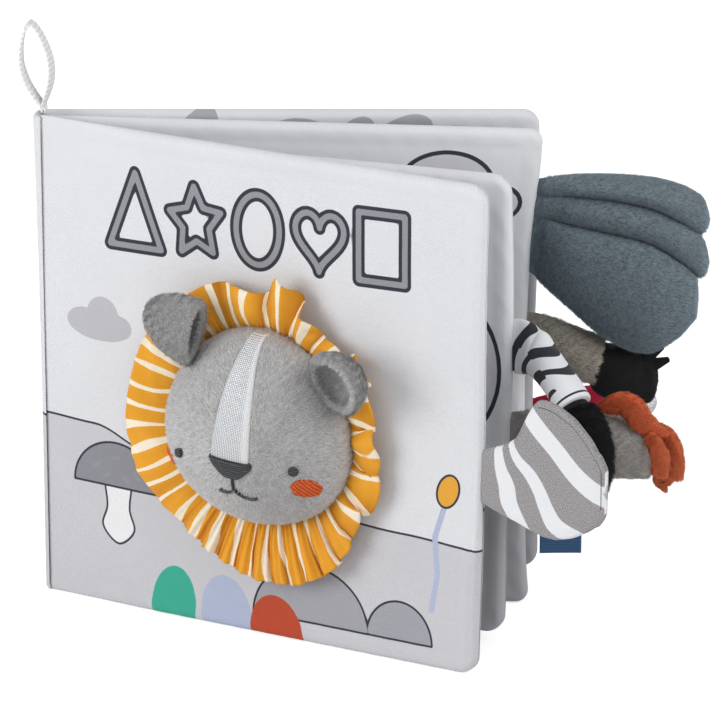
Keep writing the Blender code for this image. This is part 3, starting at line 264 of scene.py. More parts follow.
def within(along, up, outline):
    """Signed distance to a closed outline, negative inside it, where the crossings are odd."""
    outline = np.asarray(outline, float)
    ring = np.vstack([outline, outline[:1]])
    inside = np.zeros(np.broadcast(along, up).shape, bool)
    for (ax, ay), (bx, by) in zip(ring[:-1], ring[1:]):
        crosses = ((ay > up) != (by > up)) & (along < (bx - ax) * (up - ay) / (by - ay + 1e-12) + ax)
        inside ^= crosses
    return np.where(inside, -1, 1) * to_path(along, up, ring)


def oval(cx, cy, rx, ry, turned=0, start=0, end=360, points=49):
    """Points round an oval of half sizes rx and ry, turned by an angle, in mm turned to metres."""
    a = np.radians(np.linspace(start, end, points))
    t = np.radians(turned)
    x, y = rx * np.cos(a), ry * np.sin(a)
    return np.stack([cx + x * np.cos(t) - y * np.sin(t), cy + x * np.sin(t) + y * np.cos(t)], 1) / 1000


def star(cx, cy, outer, inner, arms, turned=90):
    """Points of a star in mm turned to metres: two radii in turn."""
    a = np.radians(turned + np.arange(2 * arms + 1) * 180 / arms)
    r = np.where(np.arange(2 * arms + 1) % 2, inner, outer)
    return np.stack([cx + r * np.cos(a), cy + r * np.sin(a)], 1) / 1000


def heart(cx, cy, size):
    """Points of a heart in mm turned to metres, from the usual sine-cubed curve."""
    a = np.linspace(0, 2 * np.pi, 49)
    x = 16 * np.sin(a) ** 3
    y = 13 * np.cos(a) - 5 * np.cos(2 * a) - 2 * np.cos(3 * a) - np.cos(4 * a)
    return np.stack([cx + size * x / 16, cy + size * y / 16], 1) / 1000


def any_of(*shapes):
    """The nearest of several printed shapes, each (kind, points, half width)."""

    def nearest(along, up):
        found = []
        for kind, points, half in shapes:
            found.append((to_path if kind == "line" else within)(along, up, points) - half)
        return np.min(found, axis=0)

    return nearest


def areas(*outlines):
    """The nearest of several printed areas."""
    return any_of(*[("area", outline, 0) for outline in outlines])


def ground_line(*points):
    """Height over a horizon that runs through the given points, with cosine bends between."""
    x, y = np.array(points).T / 1000
    fine = np.linspace(x[0], x[-1], 200)
    k = np.clip(np.searchsorted(x, fine, side="right") - 1, 0, len(x) - 2)
    t = (fine - x[k]) / (x[k + 1] - x[k])
    height = y[k] + (y[k + 1] - y[k]) * (1 - np.cos(np.pi * t)) / 2
    return lambda along, up: up - np.interp(along, fine, height)


def taller(outline, middle):
    """An outline a fifth taller about the height of its middle."""
    return (outline - [0, middle]) * np.array([1, 1.2]) + [0, middle]


title_lines = [
    np.array([[29, 139.5], [51, 140], [40, 167.5], [29, 139.5]]) / 1000,
    taller(star(65.5, 152.5, 11.2, 5.7, 5, 94), 0.1525),
    oval(91, 153.5, 8.8, 13),
    taller(heart(116, 154, 9.8), 0.154),
    np.array([[132, 141], [150.5, 141.5], [150, 166.5], [131.5, 166], [132, 141]]) / 1000,
]
stem_line = smooth_route([(25, 47), (26, 38), (24, 30), (31, 24), (38, 30), (36, 38), (37, 47)], 40) / 1000
TITLE_HALF, TITLE_CORE, STEM_HALF, FLECK_HALF = 0.0025, 0.0011, 0.0011, 0.0008
flecks = np.array([
    [(20, 52), (22.5, 54)], [(29, 57), (31.5, 57.2)], [(38, 52.5), (40, 50.5)],
    [(25, 49.5), (27, 50.5)], [(33.5, 50), (35.5, 49)],
]) / 1000
front_prints = {
    "over_ground": ground_line((-5, 70), (20, 69), (45, 62), (100, 52), (150, 49), (190, 47)),
    "pale": areas(oval(17, 108, 7.5, 5.2), oval(25, 111.5, 6.8, 6.8), oval(32, 107.5, 5.6, 4.6),
                  oval(24, 104.5, 11, 3.2)),
    "boulder": areas(oval(113, 8, 24, 22, 0, 0, 180), oval(150, 8, 13.5, 15, 0, 0, 180)),
    "dome": areas(oval(30, 46, 18.5, 17, 0, 0, 180)),
    "stem": areas(stem_line),
    "lavender": any_of(
        ("area", oval(78, 3, 11, 17, 8), 0),
        ("line", np.array([[163, 22], [165, 36], [163.5, 50], [167, 62]]) / 1000, STEM_HALF),
    ),
    "teal": areas(oval(55, 4, 9.5, 16, -6)),
    "rust": areas(oval(99, 1, 11, 15, 12)),
    "yellow": areas(oval(168.3, 68, 4.2, 6.4, -18)),
    "ink": any_of(*[("line", points, TITLE_HALF) for points in title_lines]),
    "core": any_of(*[("line", points, TITLE_CORE) for points in title_lines],
                   *[("line", points, FLECK_HALF) for points in flecks]),
}


def linear(code):
    """An sRGB hex colour as linear values."""
    c = np.array([int(code[i : i + 2], 16) for i in (1, 3, 5)]) / 255
    return (*np.where(c < 0.04045, c / 12.92, ((c + 0.055) / 1.055) ** 2.4), 1)


def node(tree, kind, inputs=None, **settings):
    """Adds a node with its settings. An input is a value, or the output that feeds it."""
    made = tree.nodes.new(kind)
    for key, value in settings.items():
        setattr(made, key, value)
    for key, value in (inputs or {}).items():
        if isinstance(value, bpy.types.NodeSocket):
            tree.links.new(value, made.inputs[key])
        else:
            made.inputs[key].default_value = value
    return made


def mixed(tree, share, low, high):
    """The colour low where share is 0 and high where it is 1."""
    made = node(tree, "ShaderNodeMix", {0: share, 6: low, 7: high}, data_type="RGBA")
    return made.outputs[2]


def blank_material(name, roughness, sheen=0.0, sheen_tint="#ffffff"):
    """A new Principled material and its tree."""
    material = bpy.data.materials.new(name)
    material.use_nodes = True
    tree = material.node_tree
    shader = tree.nodes["Principled BSDF"]
    shader.inputs["Roughness"].default_value = roughness
    shader.inputs["Sheen Weight"].default_value = sheen
    shader.inputs["Sheen Roughness"].default_value = 0.5
    shader.inputs["Sheen Tint"].default_value = linear(sheen_tint)
    shader.inputs["Specular IOR Level"].default_value = 0.3
    return material, tree, shader


def on_cloth(tree):
    """The cloth's own coordinates, laid flat."""
    return node(tree, "ShaderNodeUVMap", uv_map="cloth").outputs[0]


def in_space(tree):
    """The object's coordinates."""
    return node(tree, "ShaderNodeTexCoord").outputs["Object"]


def attribute(tree, name):
    """A value that the mesh carries at its points."""
    return node(tree, "ShaderNodeAttribute", attribute_name=name).outputs["Fac"]


def noise(tree, at, scale, detail=2.0):
    """Soft random blotches."""
    return node(tree, "ShaderNodeTexNoise", {0: at, "Scale": scale, "Detail": detail}).outputs[0]


def wave(tree, at, direction, scale, distortion=0.0, detail=2.0, detail_scale=1.0):
    """Ribs or rows of thread, as sine bands across a direction."""
    inputs = {0: at, "Scale": scale, "Distortion": distortion, "Detail": detail, "Detail Scale": detail_scale}
    return node(tree, "ShaderNodeTexWave", inputs, bands_direction=direction).outputs[1]


def math(tree, operation, *values):
    """A sum, a product or the like of values."""
    return node(tree, "ShaderNodeMath", dict(enumerate(values)), operation=operation).outputs[0]


def stretched(tree, value, low, high, at_low=0.0, at_high=1.0):
    """A value that runs from at_low to at_high while its source runs from low to high."""
    return node(tree, "ShaderNodeMapRange", {0: value, 1: low, 2: high, 3: at_low, 4: at_high}).outputs[0]


def finish(tree, shader, colour, height, strength, depth):
    """Joins a colour to the shader, and a relief as a bump of the height."""
    bump = node(tree, "ShaderNodeBump", {"Height": height, "Strength": strength, "Distance": depth})
    tree.links.new(bump.outputs[0], shader.inputs["Normal"])
    tree.links.new(colour, shader.inputs["Base Color"])


PRINT_EDGE = 0.00012


def printed_twill(name, plain, ground, line, inks, line_half=0.00042):
    """Polyester twill with dye-sublimation print: matt, with fine diagonal ribs of thread. The
    ribs are 0.7 mm apart, coarser than the real cloth's, so that they show. Each ink covers
    the cloth where its attribute is below zero."""
    material, tree, shader = blank_material(name, 0.85, 0.15)
    uv = on_cloth(tree)
    ribs = wave(tree, uv, "DIAGONAL", 620.0, 1.2, 1.0, 3.0)
    relief = math(tree, "ADD", ribs, noise(tree, uv, 260.0, 3.0))

    def covers(name):
        """1 where the attribute is below zero, with a soft border."""
        return stretched(tree, attribute(tree, name), -PRINT_EDGE, PRINT_EDGE, 1.0, 0.0)

    def outlines(name):
        """1 on a line along the attribute's zero."""
        away = math(tree, "ABSOLUTE", attribute(tree, name))
        return stretched(tree, away, line_half - PRINT_EDGE, line_half + PRINT_EDGE, 1.0, 0.0)

    colour = linear(plain)
    for ink_name, ink, outlined in [("over_ground", ground, True), *inks]:
        colour = mixed(tree, covers(ink_name), colour, linear(ink))
        if outlined:
            colour = mixed(tree, outlines(ink_name), colour, linear(line))
    worn = stretched(tree, noise(tree, uv, 30.0, 4.0), 0.0, 1.0, 0.93, 1.03)
    thread = stretched(tree, ribs, 0.0, 1.0, 0.955, 1.02)
    shade = math(tree, "MULTIPLY", worn, thread)
    shaded = node(tree, "ShaderNodeVectorMath", {0: colour, 1: shade}, operation="MULTIPLY")
    finish(tree, shader, shaded.outputs[0], relief, 0.4, 0.0002)
    return material


INK_LINE = "#2d323e"
front_twill = printed_twill(
    "polyester_twill_printed_front", "#e2e3e7", "#cdcdd2", INK_LINE,
    [("pale", "#bebec4", False), ("boulder", "#a5a6ad", True), ("stem", "#f0f0f2", True),
     ("dome", "#8f9097", True), ("teal", "#3caf96", False), ("lavender", "#b4bed7", False),
     ("rust", "#be4b2d", False), ("yellow", "#e8a93a", True), ("ink", INK_LINE, False),
     ("core", "#96969b", False)],
)
FRONT_SPACING, FACE_SPACING = 0.001, 0.0018
leaf_face("front_cover_outer_twill", "front_cover", -1, FRONT_SPACING, front_prints,
          "front_cover_outside", front_twill)

# The other faces carry the same sort of print on a coarser grid: a hill, ovals and a star.

page_ground = ground_line((-5, 66), (60, 60), (120, 71), (190, 62))
page_prints = {
    "page_one_front": dict(over_ground=page_ground, arc=areas(oval(139, 103, 35, 35, 10))),
    "page_one_back": dict(over_ground=page_ground, arc=areas(oval(70, 118, 40, 22, 8))),
    "page_two_front": dict(
        over_ground=page_ground,
        arc=areas(oval(146, 160, 17, 12.5), oval(126, 155, 12, 8), oval(163, 154, 10.5, 7)),
    ),
    "page_two_back": dict(over_ground=page_ground, arc=areas(star(95, 120, 30, 20, 8))),
    "back_cover_inside": dict(
        over_ground=page_ground,
        arc=areas(*[oval(x, 174 - 3 * (k % 2), 12, 6.5, 50 - 25 * (k % 3))
                    for k, x in enumerate(range(54, 160, 19))]),
    ),
    "back_cover_outside": dict(
        over_ground=ground_line((-5, 47), (60, 52), (120, 44), (190, 55)),
        arc=areas(oval(52, 60, 20, 26), oval(88, 52, 15, 19), oval(128, 130, 24, 11),
                  oval(112, 125, 14, 8)),
    ),
    "front_cover_inside": dict(over_ground=page_ground, arc=areas(oval(100, 95, 42, 34, -8))),
}
page_twill = printed_twill("polyester_twill_printed_page", "#e4e5e9", "#b0b0b5", INK_LINE,
                           [("arc", "#d2d2d8", True)], 0.0008)
feather_twill = printed_twill("polyester_twill_printed_ovals", "#dfe0e5", "#a5a5aa", INK_LINE,
                              [("arc", "#a9a9b0", False)])
cover_twill = printed_twill("polyester_twill_printed_back", "#e2e3e7", "#cdcdd2", INK_LINE,
                            [("arc", "#bebec4", False)])
special_twills = {"back_cover_inside": feather_twill, "back_cover_outside": cover_twill}
for leaf, side, face in (
    ("front_cover", 1, "inside"),
    ("page_one", -1, "front"),
    ("page_one", 1, "back"),
    ("page_two", -1, "front"),
    ("page_two", 1, "back"),
    ("back_cover", -1, "inside"),
    ("back_cover", 1, "outside"),
):
    face_node = f"{leaf}_{face}"
    leaf_face(f"{face_node}_twill", leaf, side, FACE_SPACING, page_prints[face_node], face_node,
              special_twills.get(face_node, page_twill))


# Between the two faces of each leaf lie a sheet of crackling polypropylene film and a sheet of
# needled polyester wadding. They are the CAD's own sheets, with their real finishes. The
# stuffings of the head and the tails are the same fibre.

def speckled(name, roughness, sheen, scale, detail, strength, depth, low, high):
    """A material whose colour and relief follow the same noise."""
    material, tree, shader = blank_material(name, roughness, sheen)
    dents = noise(tree, in_space(tree), scale, detail)
    finish(tree, shader, mixed(tree, dents, linear(low), linear(high)), dents, strength, depth)
    return material


film = speckled("polypropylene_film", 0.22, 0.0, 220.0, 2.0, 0.6, 0.0004, "#dfe6ea", "#f2f6f8")
wadding = speckled("polyester_wadding", 1.0, 0.3, 900.0, 6.0, 0.8, 0.0006, "#e4e4df", "#fbfbf8")
for name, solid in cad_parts.items():
    if name.endswith(("_film", "_padding", "_stuffing")):
        solid.data.materials.clear()
        solid.data.materials.append(film if name.endswith("_film") else wadding)


# The spine is a strip of the cover's own twill, 10 mm wide, sewn along the leaves' roots. It is
# slightly full between the four rows of stitches.

SPINE_HALF, SPINE_TALL, SPINE_PITCH, SPINE_ROWS = 0.0056, 0.1825, 0.0028, 0.0042
SPINE_ENDS = np.array([0, 0.0003, 0.001])
GROUND_AT_SPINE = 0.069


def spine_strip():
    """A closed strip: its back is half an oval that swells towards the head of the book and
    bulges between the leaves' roots by a rectified sine, and its ends reach round the roots."""
    y = np.linspace(-SPINE_HALF, SPINE_HALF, 41)[:, None]
    middle = np.linspace(SPINE_ENDS[2], SPINE_TALL - SPINE_ENDS[2], 90)
    up = np.concatenate([SPINE_ENDS[:2], middle, SPINE_TALL - SPINE_ENDS[1::-1]])[None, :]
    end = np.clip(np.minimum(up, SPINE_TALL - up) / 0.0009, 0, 1)
    round_off = np.sqrt(np.clip(1 - np.abs(y / 0.0057) ** 3, 0, 1))
    fold = np.abs(np.sin(np.pi * (y + SPINE_ROWS) / SPINE_PITCH)) * 0.0004 * round_off
    fold = fold + 0.00008 * np.sin(700 * up + 300 * y) * np.sin(900 * y)
    bulge = 0.0015 + 0.0014 * (up / 0.18) ** 3
    outer = CLOTH - bulge * round_off * (0.75 + 0.25 * np.sqrt(end)) - fold * end
    inner = 0.0006 + 0.0003 * np.clip((np.abs(y) - SPINE_ROWS) / 0.0012, 0, 1)
    faces = [spread(x, y, up) for x in (np.minimum(outer, inner - 0.0001), inner)]
    uv = spread(y, up)
    values = {"over_ground": up - GROUND_AT_SPINE + 0 * y, "arc": np.ones(uv.shape[:2])}
    return shell_piece("spine_twill", faces, "back_cover", uv, values)


dress(spine_strip(), cover_twill, "cover_cloth", "spine_band")


# The hanging loop is ribbed polyester tape, 8 mm wide and 1.1 mm thick, both ends sewn into the
# top of the spine. It stands up slim at the ends, wide in the middle and pinched at the top.

TAPE_WIDE, TAPE_THICK = 0.008, 0.0011
LOOP_HALF, LOOP_TALL, LOOP_LEAN, LOOP_FOOT = 0.0058, 0.0318, 0.0042, 0.1846
LOOP_SHARES = np.array([
    (0.085, -0.026), (0.16, 0.05), (0.42, 0.13), (0.80, 0.28), (1.0, 0.46), (0.95, 0.62),
    (0.72, 0.79), (0.38, 0.93), (0.13, 0.985), (0, 1.0),
])


def tube_faces(rows, columns):
    """The quads round a tube's rings, and a flat cap on its first and its last ring."""
    end = (rows - 1) * columns
    caps = [tuple(range(columns))[::-1], tuple(range(end, end + columns))]
    return grid_quads(rows, columns, around=True).tolist() + caps


def power(value, exponent):
    """A value's power with its sign kept: below one, it squares a round section."""
    return np.sign(value) * np.abs(value) ** exponent


def lengths(points):
    """How far along a line each of its points lies."""
    return np.concatenate([[0], np.cumsum(np.linalg.norm(np.diff(points, axis=0), axis=1))])


def loop_tape(steps=121, sides=20):
    """A rounded oblong section carried along the loop's outline, square to it. Towards the foot
    the tape's front edge turns inwards on the right and its back edge on the left, by a sine of
    the height's square root, so that its face shows."""
    half = LOOP_SHARES * np.array([-LOOP_HALF, LOOP_TALL])
    path = smooth_route(np.concatenate([half, half[-2::-1] * np.array([-1, 1])]), steps)
    x, height = path[:, 0] - LOOP_LEAN * path[:, 1] / LOOP_TALL, path[:, 1]
    ahead = np.stack([np.gradient(x), np.gradient(height)], 1)
    ahead /= np.linalg.norm(ahead, axis=1)[:, None]
    angle = np.linspace(0, 2 * np.pi, sides, endpoint=False)
    across = TAPE_WIDE / 2 * power(np.cos(angle), 0.4)
    thick = TAPE_THICK / 2 * power(np.sin(angle), 0.6)
    low = np.sin(np.pi * np.sqrt(np.clip(height / LOOP_TALL, 0, 1)))[:, None]
    right = (np.arange(steps) > steps // 2)[:, None]
    turn = np.where(right, -0.0018 * (0.5 - across / TAPE_WIDE), 0.0009 * (0.5 + across / TAPE_WIDE)) * low
    px = x[:, None] - ahead[:, 1:] * thick[None, :] + turn
    pz = height[:, None] + ahead[:, :1] * thick[None, :]
    points = spread(HINGE_X + px, across[None, :], LOOP_FOOT + pz)
    uv = spread(lengths(np.stack([x, height], 1))[:, None], across[None, :])
    return mesh_piece("hanging_loop_tape", points, tube_faces(steps, sides), "hanging_loop", uv)


tape, tree, shader = blank_material("polyester_ribbed_tape", 0.75, 0.2)
ribs = wave(tree, on_cloth(tree), "X", 160.0, 0.3)
finish(tree, shader, mixed(tree, ribs, linear("#dcdcde"), linear("#f2f2f3")), ribs, 0.5, 0.0003)
dress(loop_tape(), tape, "loop_twill", "hanging_loop")


# The label is a bare woven tab of dark blue satin, folded in two and sewn into the fore-edge.

LABEL_HALF, LABEL_FOLD, LABEL_SIDE, LABEL_CURL = 0.00055, 0.0006, 0.0004, 0.0004


def label_tab():
    """The tab's box with its cut edge's corners and its fold rounded: an oblong section whose
    thickness ends in half a circle at the fold, and a slight curl along its length."""
    low, high = (np.array(corner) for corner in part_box("edge_label"))
    x = np.linspace(low[0], high[0], 40)[:, None]
    z = np.linspace(low[2], high[2], 30)[None, :]
    middle = (low[1] + high[1]) / 2
    fold = np.clip((high[0] - x) / LABEL_FOLD, 0, 1)
    side = np.clip(np.minimum(z - low[2], high[2] - z) / LABEL_SIDE, 0, 1)
    half = LABEL_HALF * np.sqrt(fold * (2 - fold)) * (0.4 + 0.6 * side) + 0.00003
    curl = LABEL_CURL * np.sin(2.2 * (x - low[0]) / 0.015) * np.cos(150 * (z - low[2]))
    faces = [spread(x, middle + curl + s * half, z) for s in (-1, 1)]
    return shell_piece("edge_label_tab", faces, "edge_label", spread(x, z))


label_weave, tree, shader = blank_material("polyester_satin_label", 0.45, 0.25)
warp = wave(tree, in_space(tree), "Z", 520.0)
finish(tree, shader, mixed(tree, warp, linear("#26486c"), linear("#386594")), warp, 0.5, 0.0002)
dress(label_tab(), label_weave, "label_weave", "edge_label")


# The lion's head is a stuffed dome of short grey plush, sewn to the cover round its base. The
# pile is brushed outwards from the nose, and the skin is drawn in at the ears and the muzzle.

HEAD_U, HEAD_Z, HEAD_ROLL = 0.0960, 0.0832, np.radians(4)
HEAD_WIDE, HEAD_TALL, HEAD_DEEP, UNDER = 0.0368, 0.0360, 0.0255, np.radians(20)
EGG_SHARE, ROUND_SHARE = 0.09, 0.85
EAR_FOLD = [(0.012, 0.0165), (0.020, 0.0200), (0.027, 0.0225)]


def on_cover(x, y, height):
    """Face points at a height over the cover, turned by the head's roll."""
    c, s = np.cos(HEAD_ROLL), np.sin(HEAD_ROLL)
    return place("front_cover", HEAD_U + x * c + y * s, -LEAF_HALF - GAP - height, HEAD_Z - x * s + y * c)


def hump(x, y, across, up, size):
    """A round bell curve about a place on the face."""
    return np.exp(-((x - across) ** 2 + (y - up) ** 2) / (2 * size**2))


def soft_forms(x, y):
    """How the skin is pushed in or out: the muzzle, the brows and the cheeks swell, the eyes lie
    in sockets, and a fold runs in from the right ear. Each is a bell curve."""
    muzzle = 0.0035 * hump(x, y, 0, -0.012, 0.013)
    fold = -0.0016 * bell(to_path(x, y, EAR_FOLD), 0.0026)
    brow = 0.0011 * hump(x, y, 0.014, 0.009, 0.007) + 0.0009 * hump(x, y, -0.014, 0.011, 0.007)
    socket = -0.0009 * hump(np.abs(x), y, 0.0185, -0.005, 0.005)
    cheek = 0.0012 * hump(np.abs(x), y, 0.024, -0.015, 0.006)
    return muzzle + fold + brow + socket + cheek


def head_height(x, y):
    """The dome over an egg outline: a rounded power curve, with the soft forms on it."""
    reach = np.hypot(x / (HEAD_WIDE * (1 - EGG_SHARE * y / HEAD_TALL)), y / HEAD_TALL)
    rise = np.sqrt(np.clip(1 - reach ** (2 / ROUND_SHARE), 0, 1))
    dome = HEAD_DEEP * (rise + np.sin(UNDER)) / (1 + np.sin(UNDER))
    return dome + rise * soft_forms(x, y)


def head_grid(levels, sides):
    """Rings from the sewn base up to the crown, by the tilt and the angle round the face."""
    tilt = np.linspace(-UNDER, np.radians(89.6), levels)[:, None]
    angle = np.linspace(0, 2 * np.pi, sides, endpoint=False)[None, :]
    reach = np.cos(tilt) ** ROUND_SHARE
    y = HEAD_TALL * reach * np.sin(angle)
    x = HEAD_WIDE * (1 - EGG_SHARE * y / HEAD_TALL) * reach * np.cos(angle)
    dome = HEAD_DEEP * (np.sin(tilt) + np.sin(UNDER)) / (1 + np.sin(UNDER))
    return x, y, dome + np.clip(np.sin(tilt), 0, 1) * soft_forms(x, y)


def unit(vectors):
    """Vectors of length one."""
    return vectors / np.maximum(np.linalg.norm(vectors, axis=-1, keepdims=True), 1e-12)


def grid_normals(points):
    """Outward normals of rings: the cross product of the steps round and along."""
    step = np.roll(points, -1, 1) - np.roll(points, 1, 1)
    return unit(np.cross(step, np.gradient(points, axis=0)))


def scatter(points, count, seed, *fields):
    """Random places on rings with the same number per area: cells are drawn by their area,
    and each field is read between its four corners."""
    rng = np.random.default_rng(seed)
    points, *fields = (np.concatenate([field, field[:, :1]], 1) for field in (points, *fields))
    step_i, step_j = points[1:, :-1] - points[:-1, :-1], points[:-1, 1:] - points[:-1, :-1]
    area = np.linalg.norm(np.cross(step_i, step_j), axis=-1)
    cell = rng.choice(area.size, count, p=(area / area.sum()).ravel())
    i, j = np.unravel_index(cell, area.shape)
    a, b = rng.random((2, count))

    def read(field):
        a2, b2 = (a[:, None], b[:, None]) if field.ndim == 3 else (a, b)
        low = field[i, j] * (1 - b2) + field[i, j + 1] * b2
        high = field[i + 1, j] * (1 - b2) + field[i + 1, j + 1] * b2
        return low * (1 - a2) + high * a2

    return [read(field) for field in (points, *fields)]


SLOW_SWIRL, FAST_SWIRL = np.array([520.0, 610.0, -730.0]), np.array([-1150.0, 840.0, 1270.0])


def pile(name, body, roots, normals, lay, length, width, rise, seed, swirl=0.5):
    """Tufts of pile: closed three-sided spikes that start inside the skin and lean along their
    lay. Their shading follows the skin, so that they read as fur and not as spikes. The swirl
    turns neighbouring tufts the same way, by crossed sines about 3 mm and 6 mm long."""
    rng = np.random.default_rng(seed)
    count = len(roots)
    lay = unit(lay - normals * np.sum(lay * normals, 1)[:, None])
    side = np.cross(normals, lay)
    stray = rng.normal(0, 0.22, (count, 2))
    slow, fast = roots @ SLOW_SWIRL, roots @ FAST_SWIRL
    turns = np.sin(fast + 1.7 * np.sin(slow)), np.cos(0.8 * fast - 2 * np.sin(slow))
    stray = stray + swirl * np.stack(turns, 1)
    lean = unit(lay + side * stray[:, :1])
    high = np.clip(rise + 0.12 * stray[:, 1:], 0.05, 1)
    tall = length * rng.uniform(0.7, 1.25, (count, 1))
    tip = roots + tall * (normals * high + lean * np.sqrt(1 - high**2))
    spin = rng.uniform(0, 2 * np.pi, (count, 1)) + np.array([0, 1, 2]) * 2 * np.pi / 3
    spin = spin[..., None]
    foot = (roots - normals * 0.25 * length)[:, None]
    base = foot + width * (lay[:, None] * np.cos(spin) + side[:, None] * np.sin(spin))
    points = np.concatenate([base, tip[:, None]], 1)
    first = 4 * np.arange(count)[:, None, None]
    faces = (first + np.array([[0, 2, 1], [0, 1, 3], [1, 2, 3], [2, 0, 3]])).reshape(-1, 3)
    at_tip = np.tile([0.0, 0.0, 0.0, 1.0], (count, 1))
    shade = np.repeat(rng.random(count), 4)
    piece = mesh_piece(name, points, faces, body, values={"tip": at_tip, "tuft": shade})
    turned = unit(normals[:, None] + 0.55 * unit(points - roots[:, None]) * at_tip[..., None])
    piece.data.normals_split_custom_set_from_vertices(turned.reshape(-1, 3).tolist())
    return piece


def plush(name, deep, light, rough=0.95, sheen=0.35):
    """Brushed polyester pile with painted shade: dark on the skin and at the tufts' roots, where
    shade falls between the tufts, and pale at their tips; soft at its edges. The tufts of the pile
    are drawn about 0.3 mm wide, coarser than the real fibre."""
    material, tree, shader = blank_material(name, rough, sheen, light)
    at = in_space(tree)
    drift = stretched(tree, noise(tree, at, 460.0, 3.0), 0.35, 0.65, 0.0, 0.16)
    # Painted shade: the colour runs from deep at the roots, and on the bare skin, which carries no tip value,
    # to light at the tips.
    share = math(tree, "MULTIPLY_ADD", attribute(tree, "tip"), 0.55, drift)
    share = math(tree, "MULTIPLY_ADD", attribute(tree, "tuft"), 0.35, share)
    colour = mixed(tree, share, linear(deep), linear(light))
    finish(tree, shader, colour, noise(tree, at, 1500.0), 0.5, 0.0004)
    return material


BRIDGE_TOP, NOSE_TOP, NOSE_TALL, NOSE_HALF, NOSE_SKEW = 0.97 * HEAD_TALL, -0.0064, 0.0072, 0.0085, 0.0016
EYES = {"left": (-0.0236, -0.0116), "right": (0.0230, -0.0075)}
CHEEKS = {"left": (-0.0333, -0.0180), "right": (0.0268, -0.0138)}
LIP = NOSE_TOP - NOSE_TALL - 0.0045
MOUTH = [
    [(0.0016, NOSE_TOP - NOSE_TALL), (0.0018, LIP + 0.0006)],
    [(0.0018, LIP + 0.0006), (0.0004, LIP - 0.0012), (-0.0020, LIP - 0.0018), (-0.0046, LIP - 0.0014)],
    [(0.0018, LIP + 0.0006), (0.0034, LIP - 0.0012), (0.0060, LIP - 0.0024), (0.0084, LIP - 0.0026),
     (0.0104, LIP - 0.0022)],
]


def bridge_half(y):
    """Half the bridge's width: it widens fast below its top, and then less and less."""
    t = np.clip((BRIDGE_TOP - y) / (BRIDGE_TOP - NOSE_TOP), 0, 1)
    return 0.0026 + 0.0048 * (1 - (1 - t) ** 1.9)


def is_bare(x, y):
    """Where no pile stands: under the bridge, the nose, the eyes, the cheeks and the mouth."""
    bare = (np.abs(x) < bridge_half(y)) & (y > NOSE_TOP) & (y < BRIDGE_TOP)
    drop = (NOSE_TOP - y) / NOSE_TALL
    nose_half = NOSE_HALF * (1 - 0.78 * np.clip(drop - 0.25, 0, 1))
    bare |= (drop >= 0) & (drop < 1) & (np.abs(x - NOSE_SKEW * drop) < nose_half)
    for (eye_x, eye_y), (cheek_x, cheek_y) in zip(EYES.values(), CHEEKS.values()):
        bare |= np.hypot(x - eye_x, y - eye_y) < 0.0016
        bare |= np.hypot((x - cheek_x) / 0.0045, (y - cheek_y) / 0.0034) < 0.93
    for line in MOUTH:
        bare |= to_path(x, y, line) < 0.0005
    return bare


HEAD_LEVELS, HEAD_SIDES, HEAD_TUFTS, BRUSHED_FROM = 90, 220, 52000, -0.004
head_plush = plush("brushed_polyester_plush_grey", "#9d9c9c", "#f7f6f6")
face_x, face_y, face_height = head_grid(HEAD_LEVELS, HEAD_SIDES)
skin_points = on_cover(face_x, face_y, face_height)
skin = mesh_piece("lion_head_skin", skin_points, tube_faces(HEAD_LEVELS, HEAD_SIDES), "front_cover")
dress(skin, head_plush, "head_plush", "lion_head_cover", fill=0.9)

normals = grid_normals(skin_points)
roots, up_from, at_x, at_y = scatter(skin_points, HEAD_TUFTS, 11, normals, face_x, face_y)
furred = ~is_bare(at_x, at_y)
roots, up_from = roots[furred], up_from[furred]
nose_point = on_cover(np.array(0.0), np.array(BRUSHED_FROM), head_height(0.0, BRUSHED_FROM))
lay = unit(roots - nose_point)
coat = pile("lion_head_pile", "front_cover", roots, up_from, lay, 0.0021, 0.00018, 0.36, 12, 0.35)
dress(coat, head_plush, "head_plush")


# The face is sewn on the plush: a bridge of glittering knit, a nose, a mouth and two eyes in
# charcoal satin stitch, and two cheeks in orange satin stitch.

SLOPE_STEP, PATCH_SUNK, PATCH_BACK, ROUNDED_SHARE = 0.0004, 0.0003, -0.0004, 0.16


def from_border(count):
    """How many places a row or column lies from the nearer border, over the rounded share."""
    return np.minimum(np.arange(count), np.arange(count)[::-1]) / (count * ROUNDED_SHARE)


def face_patch(name, x, y, thick, material, slot, *node_names):
    """A closed patch over a grid of face points: it follows the head's height along its
    normal, and its border is rounded down by half an ellipse."""
    height = head_height(x, y)
    slope_x = (head_height(x + SLOPE_STEP, y) - head_height(x - SLOPE_STEP, y)) / (2 * SLOPE_STEP)
    slope_y = (head_height(x, y + SLOPE_STEP) - head_height(x, y - SLOPE_STEP)) / (2 * SLOPE_STEP)
    steep = np.sqrt(1 + slope_x**2 + slope_y**2)
    rows, columns = x.shape
    edge = np.clip(np.minimum(from_border(rows)[:, None], from_border(columns)[None, :]), 0, 1)
    faces = []
    for out in (PATCH_SUNK + thick * np.sqrt(edge * (2 - edge)), np.full_like(edge, PATCH_BACK)):
        away = out / steep
        faces.append(on_cover(x - slope_x * away, y - slope_y * away, height + away))
    return dress(shell_piece(name, faces, "front_cover", spread(x, y)), material, slot, *node_names)


def satin_stitch(name, deep, light, direction="Y"):
    """Rayon thread laid side by side, 0.4 mm apart: glossy threads with dark gaps, drawn
    0.8 mm apart so that they show."""
    material, tree, shader = blank_material(name, 0.5, 0.3, light)
    uv = on_cloth(tree)
    rows = wave(tree, uv, direction, 392.0, 2.4, 2.0, 2.0)
    share = stretched(tree, math(tree, "MULTIPLY", rows, noise(tree, uv, 1400.0)), 0.1, 0.6)
    finish(tree, shader, mixed(tree, share, linear(deep), linear(light)), share, 0.9, 0.0004)
    return material


